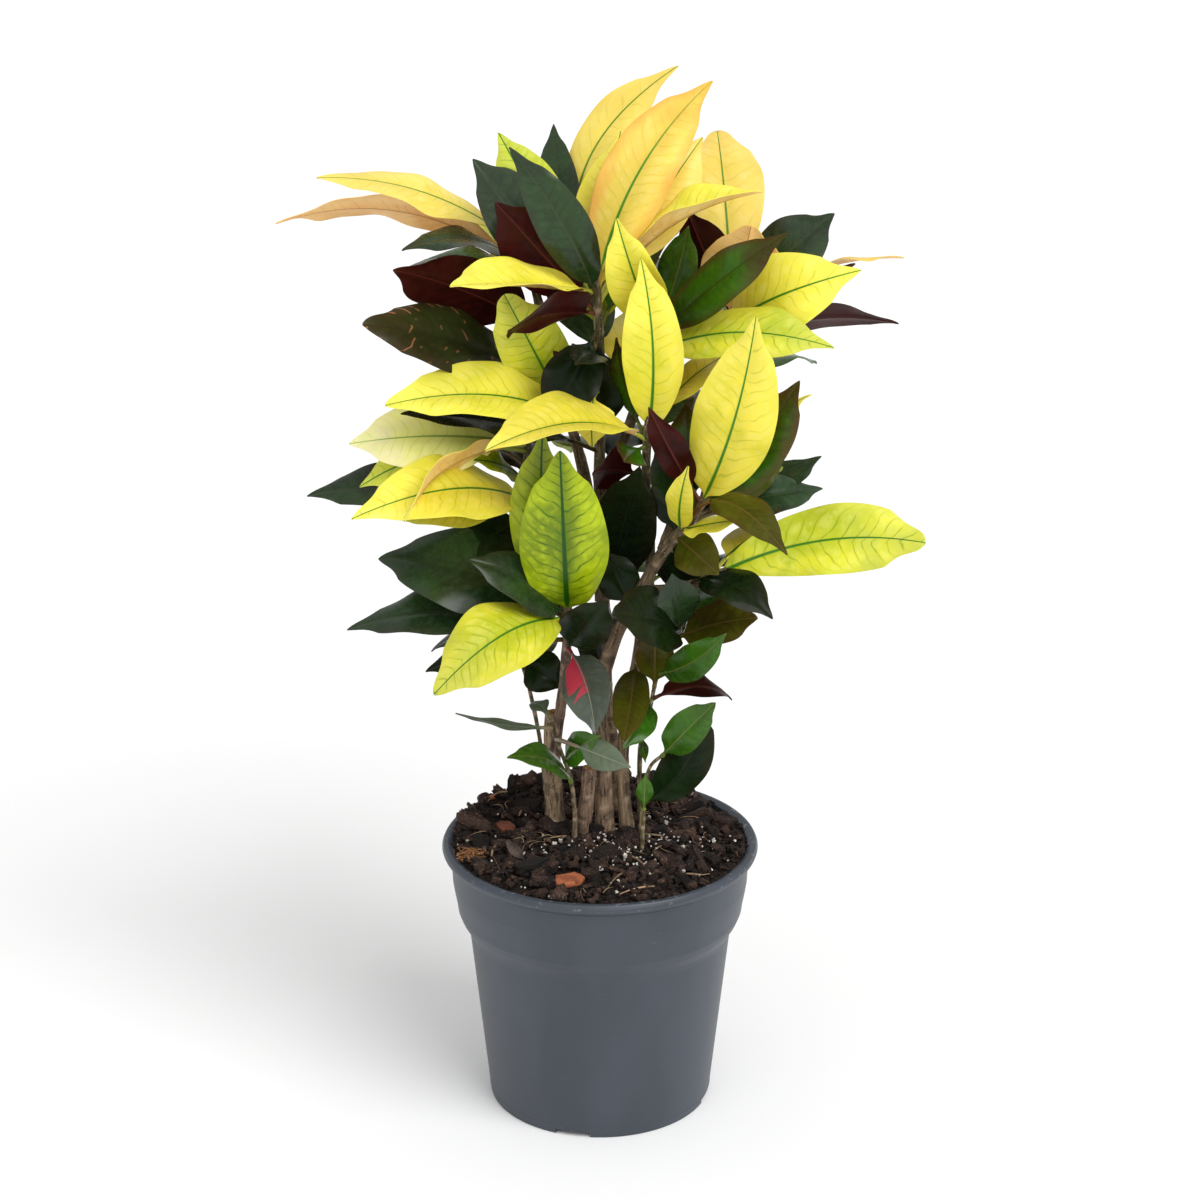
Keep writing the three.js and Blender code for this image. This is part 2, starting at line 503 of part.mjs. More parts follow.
/** The inner face of the pot's wall from its top down to the floor, moved inwards by a gap. */
function wallInside(gap = 0) {
  const inset = POT.wall + gap;
  const [[stepRadius, stepHeight]] = POT.step;
  const lean = (POT.bodyTopRadius - POT.footRadius) / POT.bodyTop;
  return [
    [POT.collarRadius - inset, POT.collarTop + 1],
    ...[...POT.collar].reverse().map(([r, z]) => [r - inset, z + 1]),
    [stepRadius + 1.2 - inset, stepHeight + 6], [stepRadius - inset, stepHeight + 2],
    [POT.bodyTopRadius - inset, POT.bodyTop],
    [POT.footRadius + lean * POT.floorTop - inset, POT.floorTop + gap],
  ];
}

/** The pot: tapered body, stepped collar and rolled lip, a foot ring and a raised floor. */
function potSolid() {
  const ringInside = POT.footRadius - POT.footRingWidth;
  const profile = [
    [0, 0], [POT.padRadius, 0], [POT.padRadius, POT.footRingHeight],
    [ringInside, POT.footRingHeight], [ringInside, 0], [POT.footRadius, 0],
    [POT.bodyTopRadius, POT.bodyTop], ...POT.step, ...POT.collar,
    [POT.collarRadius, POT.collarTop], ...POT.lip, ...wallInside(), [0, POT.floorTop],
  ];
  const points = profile.map(([r, z]) => new THREE.Vector2(r, z));
  let pot = toSolid(new THREE.LatheGeometry(points, POT.segments).rotateX(Math.PI / 2));
  for (let i = 0; i < DRAIN.count; i += 1) {
    const angle = (2 * Math.PI * (i + 0.5)) / DRAIN.count;
    const drill = new THREE.CylinderGeometry(DRAIN.radius, DRAIN.radius, DRAIN.depth,
      DRAIN.segments).rotateX(Math.PI / 2)
      .translate(DRAIN.circle * Math.cos(angle), DRAIN.circle * Math.sin(angle), POT.floorTop);
    pot = pot.subtract(toSolid(drill));
  }
  for (const azimuth of NOTCH.azimuths) {
    const notch = new THREE.BoxGeometry(NOTCH.length, NOTCH.width, 2 * NOTCH.height)
      .translate(POT.footRadius, 0, 0).rotateZ(radians(azimuth));
    pot = pot.subtract(toSolid(notch));
  }
  return pot;
}

/** Height of the mix's smooth surface at a distance from the pot's axis, without the heap. */
function mixHeight(radius) {
  return MIX.middle - MIX.slope * (radius / MIX.rim[0]) ** 2;
}

/** A flat chip of broken clay, lying on the mix. grow widens it, to cut its bed. */
function clayChip({ place, turn, size }, grow = 0) {
  const reach = size + grow * Math.SQRT2;
  const corners = CLAY_CHIP.outline.map(([x, y]) => new THREE.Vector2(x * reach, y * reach));
  const outline = new THREE.Shape(corners);
  const top = mixHeight(Math.hypot(...place));
  return new THREE.ExtrudeGeometry(outline, {
    depth: CLAY_CHIP.thickness + grow * 2, bevelEnabled: false,
  }).translate(0, 0, -CLAY_CHIP.sunk - grow).rotateZ(radians(turn))
    .translate(place[0], place[1], top);
}

/** Whether a place on the mix is clear of the stems and the clay chips. */
function isBare(x, y, reach) {
  const nearStem = Object.values(STEMS).filter((stem) => !stem.from).some(({ points, radii }) => (
    Math.hypot(points[1][0] - x, points[1][1] - y) < radii[0] + reach));
  const nearChip = CLAY_CHIPS.some(({ place, size }) => (
    Math.hypot(place[0] - x, place[1] - y) < size * 1.25 + reach));
  return !nearStem && !nearChip;
}

/** The potting mix: a mounded filling with a heap and bark chips on it, and plain holes. */
function mixSolid() {
  const [rim] = MIX.rim;
  const profile = [
    [0, POT.floorTop + GAP], ...wallInside(GAP).reverse(),
    MIX.rim, [MIX.shoulder, mixHeight(MIX.shoulder)], [0, MIX.middle],
  ];
  const points = profile.map(([r, z]) => new THREE.Vector2(r, z));
  const bed = toSolid(new THREE.LatheGeometry(points, POT.segments).rotateX(Math.PI / 2));

  const mounds = HEAPS.mounds.map(({ place, reach, height }) => (
    new THREE.SphereGeometry(1, 9, 5).scale(...reach, height)
      .translate(...place, mixHeight(Math.hypot(...place)))));
  const column = new THREE.CylinderGeometry(HEAPS.limit, HEAPS.limit, POT.collarTop, POT.segments)
    .rotateX(Math.PI / 2).translate(0, 0, POT.collarTop);
  const heap = wasm.Manifold.union(mounds.map(toSolid)).intersect(toSolid(column));
  const random = seededNumbers(BARK.seed);
  const chips = [];
  while (chips.length < BARK.count) {
    const length = 8 + 10 * random();
    const breadth = 5 + 5 * random();
    const height = 4 + 4 * random();
    const reach = Math.hypot(length, breadth, height) / 2;
    const radius = (rim - reach - 1) * Math.sqrt(random());
    const angle = 2 * Math.PI * random();
    const [x, y] = [radius * Math.cos(angle), radius * Math.sin(angle)];
    const chip = new THREE.BoxGeometry(length, breadth, height)
      .rotateX(0.5 * (random() - 0.5)).rotateY(0.5 * (random() - 0.5))
      .rotateZ(Math.PI * random())
      .translate(x, y, mixHeight(radius) + height * (0.5 - BARK.sunk));
    if (isBare(x, y, reach + GAP)) chips.push(chip);
  }

  const standing = Object.keys(STEMS).filter((name) => !STEMS[name].from);
  const holes = [...standing.map((name) => stemTube(name, GAP)),
    ...CLAY_CHIPS.map((chip) => clayChip(chip, GAP))];
  return wasm.Manifold.union([bed, heap, ...chips.map(toSolid)])
    .subtract(wasm.Manifold.union(holes.map(toSolid)));
}

// ---------------------------------------------------------------------------------------------
// The object
// ---------------------------------------------------------------------------------------------

const group = new THREE.Group();

/** Adds one named piece with its finish. */
function add(name, geometry, finish) {
  const mesh = new THREE.Mesh(geometry, new THREE.MeshStandardMaterial(finish));
  mesh.name = name;
  group.add(mesh);
}

add('pot', toGeometry(potSolid()), FINISH.pot);
add('potting_mix', toGeometry(mixSolid()), FINISH.mix);
for (const chip of CLAY_CHIPS) add(chip.name, toGeometry(toSolid(clayChip(chip))), FINISH.clay);
for (const { name, stems, color } of PLANTS) {
  add(name, toGeometry(plantSolid(stems)), { color, ...FINISH.leaf });
}

export default group;
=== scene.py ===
"""A potted croton: woody stems with broad waxy leaves, in potting mix in a nursery pot.

Sizes are in millimetres until a mesh is made. +Z is up, and the origin is the middle of the pot's
underside. The side with the open view of the stems faces -Y, and +X is to its right.
"""

import json
import logging
import math
import random
from dataclasses import dataclass
from enum import Enum
from typing import Any

import bpy
import numpy as np
from mathutils import Euler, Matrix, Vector, noise

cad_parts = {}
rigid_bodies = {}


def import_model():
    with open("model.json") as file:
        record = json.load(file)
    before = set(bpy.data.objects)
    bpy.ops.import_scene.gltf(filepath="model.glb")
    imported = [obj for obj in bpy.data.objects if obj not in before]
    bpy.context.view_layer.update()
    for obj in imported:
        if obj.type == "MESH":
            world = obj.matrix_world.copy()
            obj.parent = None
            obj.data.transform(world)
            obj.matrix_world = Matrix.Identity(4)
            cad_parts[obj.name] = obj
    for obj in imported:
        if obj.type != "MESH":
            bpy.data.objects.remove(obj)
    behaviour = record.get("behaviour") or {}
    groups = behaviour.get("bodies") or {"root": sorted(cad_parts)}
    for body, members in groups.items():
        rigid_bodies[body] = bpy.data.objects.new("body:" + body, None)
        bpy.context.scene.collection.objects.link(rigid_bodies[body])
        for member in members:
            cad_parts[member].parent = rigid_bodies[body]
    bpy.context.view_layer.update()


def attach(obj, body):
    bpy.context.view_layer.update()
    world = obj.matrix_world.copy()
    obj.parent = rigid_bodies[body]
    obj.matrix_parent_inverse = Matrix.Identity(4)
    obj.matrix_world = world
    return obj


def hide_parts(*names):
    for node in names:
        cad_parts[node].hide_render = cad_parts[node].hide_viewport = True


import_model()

LOG = logging.getLogger("potted_croton")
METRES = 0.001  # one millimetre
BODY = "root"
Array = np.ndarray
Socket = bpy.types.NodeSocket
Pair = tuple[float, float]
Triple = tuple[float, float, float]

SOIL_LEVEL = 186.0  # height at which the stems enter the mix
MIX_RADIUS = 101.0  # where the mix meets the pot's wall, close under the lip
MIX_MIDDLE = 189.0  # height of the mix in the middle of the pot
MIX_DROP = 5.8  # how much lower it lies at the wall
# Azimuth in degrees, and height of the heap that lies along the rear wall.
HEAP_CREST = ((0, 0), (35, 0), (55, 6), (90, 10), (122, 9), (135, 8), (158, 11), (172, 8), (188, 0),
              (360, 0))
HEAP_RADIUS = 88.0  # where the heap is highest
HEAP_SPREAD = 17.0  # how far it slopes down on either side
HEAP_FADE = 8.0  # how far from the wall it starts to thin out


# ---- Materials: the tools that mix them ----

COLOUR_A, COLOUR_B, COLOUR_OUT = 6, 7, 2  # a Mix node's sockets when it mixes colours


def linear(code: str) -> tuple[float, float, float, float]:
    """Turns an sRGB hex colour into the linear values that a shader takes.

    Args:
        code: Six hex digits with a leading #.

    Returns:
        Red, green, blue and alpha.
    """
    shares = [int(code[i : i + 2], 16) / 255 for i in (1, 3, 5)]
    red, green, blue = (s / 12.92 if s <= 0.04045 else ((s + 0.055) / 1.055) ** 2.4 for s in shares)
    return red, green, blue, 1.0


def add_node(
    tree: bpy.types.NodeTree,
    kind: str,
    settings: dict[str | int, Any] | None = None,
    links: dict[str | int, Socket] | None = None,
    output: str | int = 0,
) -> Socket | None:
    """Adds one node with its settings and links.

    Args:
        tree: The node tree that the node goes into.
        kind: The node's type, without its ShaderNode prefix.
        settings: Properties by their lower-case names, and inputs by name or number.
        links: What feeds each input, by the input's name or number.
        output: The output to hand back, by name or number.

    Returns:
        That output, or None where the node has none.
    """
    node = tree.nodes.new("ShaderNode" + kind)
    for key, value in (settings or {}).items():
        if isinstance(key, str) and key.islower():
            setattr(node, key, value)
        else:
            node.inputs[key].default_value = value
    for key, source in (links or {}).items():
        tree.links.new(source, node.inputs[key])
    return node.outputs[output] if node.outputs else None


class Coat:
    """A material while its layers are being laid."""

    def __init__(self, name: str) -> None:
        """Starts an empty material.

        Args:
            name: The material's name: what the real one is, and how its surface was made.
        """
        self.material = bpy.data.materials.new(name)
        self.material.use_nodes = True
        self.tree = self.material.node_tree
        self.tree.nodes.clear()

    def add(self, kind: str, settings: dict | None = None, links: dict | None = None,
            output: str | int = 0) -> Socket | None:
        """Adds one node to this material, as add_node does."""
        return add_node(self.tree, kind, settings, links, output)

    def marks(self, *names: str) -> list[Socket]:
        """Reads values that were laid on the mesh, by their names."""
        return [self.add("Attribute", {"attribute_name": name}, output="Fac") for name in names]

    def place(self) -> Socket:
        """Reads the place on a leaf or stem, in millimetres along and across it."""
        return self.add("Attribute", {"attribute_name": "place"}, output="Vector")

    def ramp(self, value: Socket, low: float = 0.0, high: float = 1.0,
             start: float = 0.0, stop: float = 1.0) -> Socket:
        """Turns a value into a mask that is flat past both ends.

        Args:
            value: What it reads.
            low: The value at which the mask is start.
            high: The value at which it is stop.
            start: The mask at the low end.
            stop: The mask at the high end.

        Returns:
            The mask.
        """
        return self.add("MapRange", {"From Min": low, "From Max": high, "To Min": start,
                                     "To Max": stop}, {"Value": value})

    def noise(self, place: Socket, size: float, detail: float, roughness: float = 0.5) -> Socket:
        """Reads a soft noise.

        Args:
            place: Where it is read.
            size: How far apart its lumps are, in the same unit as the place.
            detail: How many times finer lumps lie on them.
            roughness: How strong the finer ones are.

        Returns:
            The noise, which stays near 0.5.
        """
        return self.add("TexNoise", {"Scale": 1 / size, "Detail": detail, "Roughness": roughness},
                        {"Vector": place})

    def times(self, one: Socket, other: Socket) -> Socket:
        """Multiplies two values."""
        return self.add("Math", {"operation": "MULTIPLY"}, {0: one, 1: other})

    def shift(self, base: Socket, value: Socket, factor: float) -> Socket:
        """Moves one value by another one times a factor."""
        return self.add("Math", {"operation": "MULTIPLY_ADD", 1: factor}, {0: value, 2: base})

    def zigzag(self, value: Socket) -> Socket:
        """Folds a value, which then runs from 0 to 0.5 and back once for each 1 that it rises."""
        return self.add("Math", {"operation": "PINGPONG", 1: 0.5}, {0: value})

    def stretch(self, place: Socket, *factors: float) -> Socket:
        """Scales a place by one factor for each axis."""
        return self.add("VectorMath", {"operation": "MULTIPLY", 1: factors}, {0: place}, "Vector")

    def relief(self, height: Socket, strength: float, depth: float) -> Socket:
        """Bends the light as if the surface rose and fell, by a depth in metres."""
        return self.add("Bump", {"Strength": strength, "Distance": depth}, {"Height": height})

    def toned(self, colour: Socket, tone: Socket, values: Pair, hues: Pair | None = None) -> Socket:
        """Gives each piece a tone of its own.

        Args:
            colour: The colour to change.
            tone: The piece's own number from 0 to 1.
            values: How bright the darkest and the palest piece are.
            hues: Their hues, where 0.5 leaves a hue as it is.

        Returns:
            The changed colour.
        """
        links = {"Value": self.ramp(tone, 0, 1, *values), "Color": colour}
        if hues:
            links["Hue"] = self.ramp(tone, 0, 1, *hues)
        return self.add("HueSaturation", links=links)

    def layers(self, colour: Socket | str, *over: tuple[Socket, str]) -> Socket:
        """Lays colours over a first one.

        Args:
            colour: The first colour, as a socket or as a hex code.
            over: Pairs of a mask from 0 to 1 and the hex code of the colour that it lets through.

        Returns:
            The mixed colour.
        """
        for mask, code in over:
            settings = {"data_type": "RGBA", COLOUR_B: linear(code)}
            links = {0: mask}
            if isinstance(colour, str):
                settings[COLOUR_A] = linear(colour)
            else:
                links[COLOUR_A] = colour
            colour = self.add("Mix", settings, links, COLOUR_OUT)
        return colour

    def close(self, settings: dict, links: dict) -> bpy.types.Material:
        """Adds the surface itself, and ends the material.

        Args:
            settings: The same value all over the surface, by the shader's input.
            links: What feeds the shader's other inputs.

        Returns:
            The finished material.
        """
        surface = self.add("BsdfPrincipled", settings, links)
        self.add("OutputMaterial", links={"Surface": surface})
        return self.material


# ---- Leaf finishes ----


class Kind(Enum):
    """How a leaf is coloured."""

    YELLOW = "yellow"
    CREAM = "cream"
    ORANGE = "orange"
    LEMON = "lemon"
    LIME = "lime"
    PALE = "pale"
    GREEN = "green"
    FLECKED = "flecked"
    DARK = "dark"
    # Deep green, darker than the leaf's own colour: the extra darkness is painted shade for the leaves
    # deep inside the crown.
    DEEP_PAINTED_SHADE = "deep"
    MAROON = "maroon"
    OLIVE = "olive"
    FRESH = "fresh"
    GREY = "grey"
    PINK = "pink"


VEIN_SPACING = 8.5  # millimetres between two side veins at the midrib


@dataclass(frozen=True)
class LeafFace:
    """One face of a living croton leaf: a waxy cuticle, grown smooth, over coloured flesh.

    The cuticle is clear and shiny, so the colour lies in the flesh beneath it and the shine is on
    top. Light that enters the thin blade comes out again a little further on.

    Attributes:
        name: The material's name.
        base: Colour of most of the flesh.
        deep: Colour of its darker clouds, and of the flesh beside the midrib.
        pale: Colour of the raised flesh between two veins.
        rib: Colour of the midrib.
        vein: Colour of the side veins.
        margin: Colour towards the edge.
        tip: Colour towards the tip.
        stalk: Colour of the stalk.
        spot: Colour of flecks or of a patch, if the leaf has any.
        rib_width: Width of the coloured midrib at the stalk, in millimetres.
        rib_reach: Share of the blade at which the midrib's colour is half gone.
        vein_width: Width of a side vein, in millimetres.
        veins: How strongly the side veins show, from 0 to 1.
        clouds: How strongly the darker clouds show, from 0 to 1.
        wash: How strongly the deep colour lies beside the midrib, from 0 to 1.
        pillow: How pale the flesh between the veins is, from 0 to 1.
        edging: How strongly the margin shows, from 0 to 1.
        tipping: How strongly the tip shows, from 0 to 1.
        flecks: How strongly flecks show, from 0 to 1.
        patch: How strongly a patch on one half shows, from 0 to 1.
        roughness: The cuticle's roughness.
        shine: The cuticle's specular level, lower where dark leaves shade each other.
        polish: How much clear wax lies on it.
        glow: Share of the light that passes into the flesh.
    """

    name: str
    base: str
    deep: str
    pale: str
    rib: str
    vein: str
    margin: str
    tip: str
    stalk: str
    spot: str = "#C88A5C"
    rib_width: float = 2.4
    rib_reach: float = 1.4
    vein_width: float = 0.8
    veins: float = 0.4
    clouds: float = 0.8
    wash: float = 0.4
    pillow: float = 0.3
    edging: float = 0.4
    tipping: float = 0.3
    flecks: float = 0.0
    patch: float = 0.0
    roughness: float = 0.4
    shine: float = 0.3
    polish: float = 0.1
    glow: float = 0.1

    def material(self) -> bpy.types.Material:
        """Mixes the material from the marks that every leaf carries.

        Returns:
            The finished material.
        """
        coat = Coat(self.name)
        ramp = coat.ramp
        share, edge, off_rib, phase, tone, is_right = coat.marks(
            "share", "edge", "off_rib", "phase", "tone", "is_right")
        place = coat.place()

        # Clouds 34 mm across in the flesh, and finer ones 6 mm across.
        clouds = coat.noise(place, 34, 3)
        cloudy = ramp(clouds, 0.44, 0.6, 0, self.clouds)
        mottle = coat.noise(place, 6, 3)

        # Side veins wander by up to a third of their spacing, and fade in and out. The beat is 0 on
        # a vein and 0.5 halfway to the next.
        drift = coat.noise(place, 13, 1)
        beat = coat.zigzag(coat.shift(phase, drift, 0.9))
        half_vein = self.vein_width / 2 / VEIN_SPACING
        line = ramp(beat, 0.5 * half_vein, 1.5 * half_vein, self.veins, 0)
        faded = ramp(mottle, 0.36, 0.5, 0.3, 1)
        inner = ramp(edge, 0.4, 0.95, 1, 0.1)
        vein = coat.times(coat.times(line, faded), inner)
        pillow = coat.times(ramp(beat, 0.04, 0.3, 0, self.pillow), ramp(mottle, 0.44, 0.62))

        # The deep colour also lies beside the midrib, 12 mm wide at most.
        wash = coat.times(ramp(off_rib, 0, 12, 2 * self.wash, 0), drift)

        # The margin and the tip are ragged: the clouds move them in and out.
        margin = ramp(coat.shift(edge, clouds, 0.8), 1, 1.42, 0, self.edging)
        tipped = coat.shift(share, drift, 0.6)
        tip = coat.add("MapRange", {"interpolation_type": "SMOOTHSTEP", "From Min": 0.75,
                                    "From Max": 1.3, "To Max": self.tipping}, {"Value": tipped})

        # The midrib narrows to a quarter at the tip and loses its colour past rib_reach.
        half_rib = ramp(share, 0, 1, self.rib_width / 2, self.rib_width / 8)
        from_rib = coat.add("Math", {"operation": "DIVIDE"}, {0: off_rib, 1: half_rib})
        kept = ramp(share, self.rib_reach - 0.4, self.rib_reach + 0.4, 1, 0)
        rib = coat.times(ramp(from_rib, 0.6, 1.1, 1, 0), kept)

        laid = [(cloudy, self.deep), (pillow, self.pale), (wash, self.deep), (margin, self.margin),
                (tip, self.tip)]
        if self.flecks:
            # Short streaks on some side veins, 1 mm wide and up to 15 mm long.
            some = ramp(coat.noise(place, 12, 1), 0.57, 0.61)
            laid.append((coat.times(ramp(beat, 0.05, 0.1, self.flecks, 0), some), self.spot))
        if self.patch:
            # Its lower edge runs along the side veins, so it is torn into points.
            upper = ramp(coat.shift(share, beat, 0.45), 0.62, 0.66, self.patch, 0)
            half = coat.times(is_right, ramp(edge, 0.72, 0.82, 1, 0))
            laid.append((coat.times(upper, half), self.spot))
        flesh = coat.layers(self.base, *laid, (vein, self.vein), (rib, self.rib))

        toned = coat.toned(flesh, tone, (0.9, 1.08), (0.492, 0.508))
        colour = coat.layers(toned, (ramp(share, -0.06, 0.02, 1, 0), self.stalk))

        # Fine pits in the cuticle, 0.7 mm apart, drawn coarser than the real cells so that they show.
        pits = coat.noise(place, 0.7, 2)
        normal = coat.relief(coat.shift(pits, line, -1.5), 0.12, 0.0001)
        roughness = ramp(mottle, 0.3, 0.7, self.roughness - 0.05, self.roughness + 0.07)
        return coat.close(
            {"IOR": 1.45, "Specular IOR Level": self.shine, "Coat Weight": self.polish,
             "Coat Roughness": 0.2, "Subsurface Weight": self.glow,
             "Subsurface Radius": (1.0, 0.9, 0.35), "Subsurface Scale": 0.0012},
            {"Base Color": colour, "Roughness": roughness, "Normal": normal})


def dark_under(kind: str, base: str = "#3A130B", deep: str = "#240B05",
               pale: str = "#521F14") -> LeafFace:
    """The wine-red underside of a dark leaf.

    Args:
        kind: The leaf's kind, for the material's name.
        base: Colour of most of the flesh.
        deep: Its darker clouds.
        pale: The flesh between two veins.

    Returns:
        The face's finish.
    """
    return LeafFace(f"waxy_{kind}_leaf_under", base, deep, pale, rib="#5A2A20", vein="#2A0E0B",
                    margin="#2E120D", tip="#481A14", stalk="#6A4230", rib_width=2.0, veins=0.3,
                    pillow=0.25, roughness=0.38, shine=0.12, polish=0.05, glow=0.05)


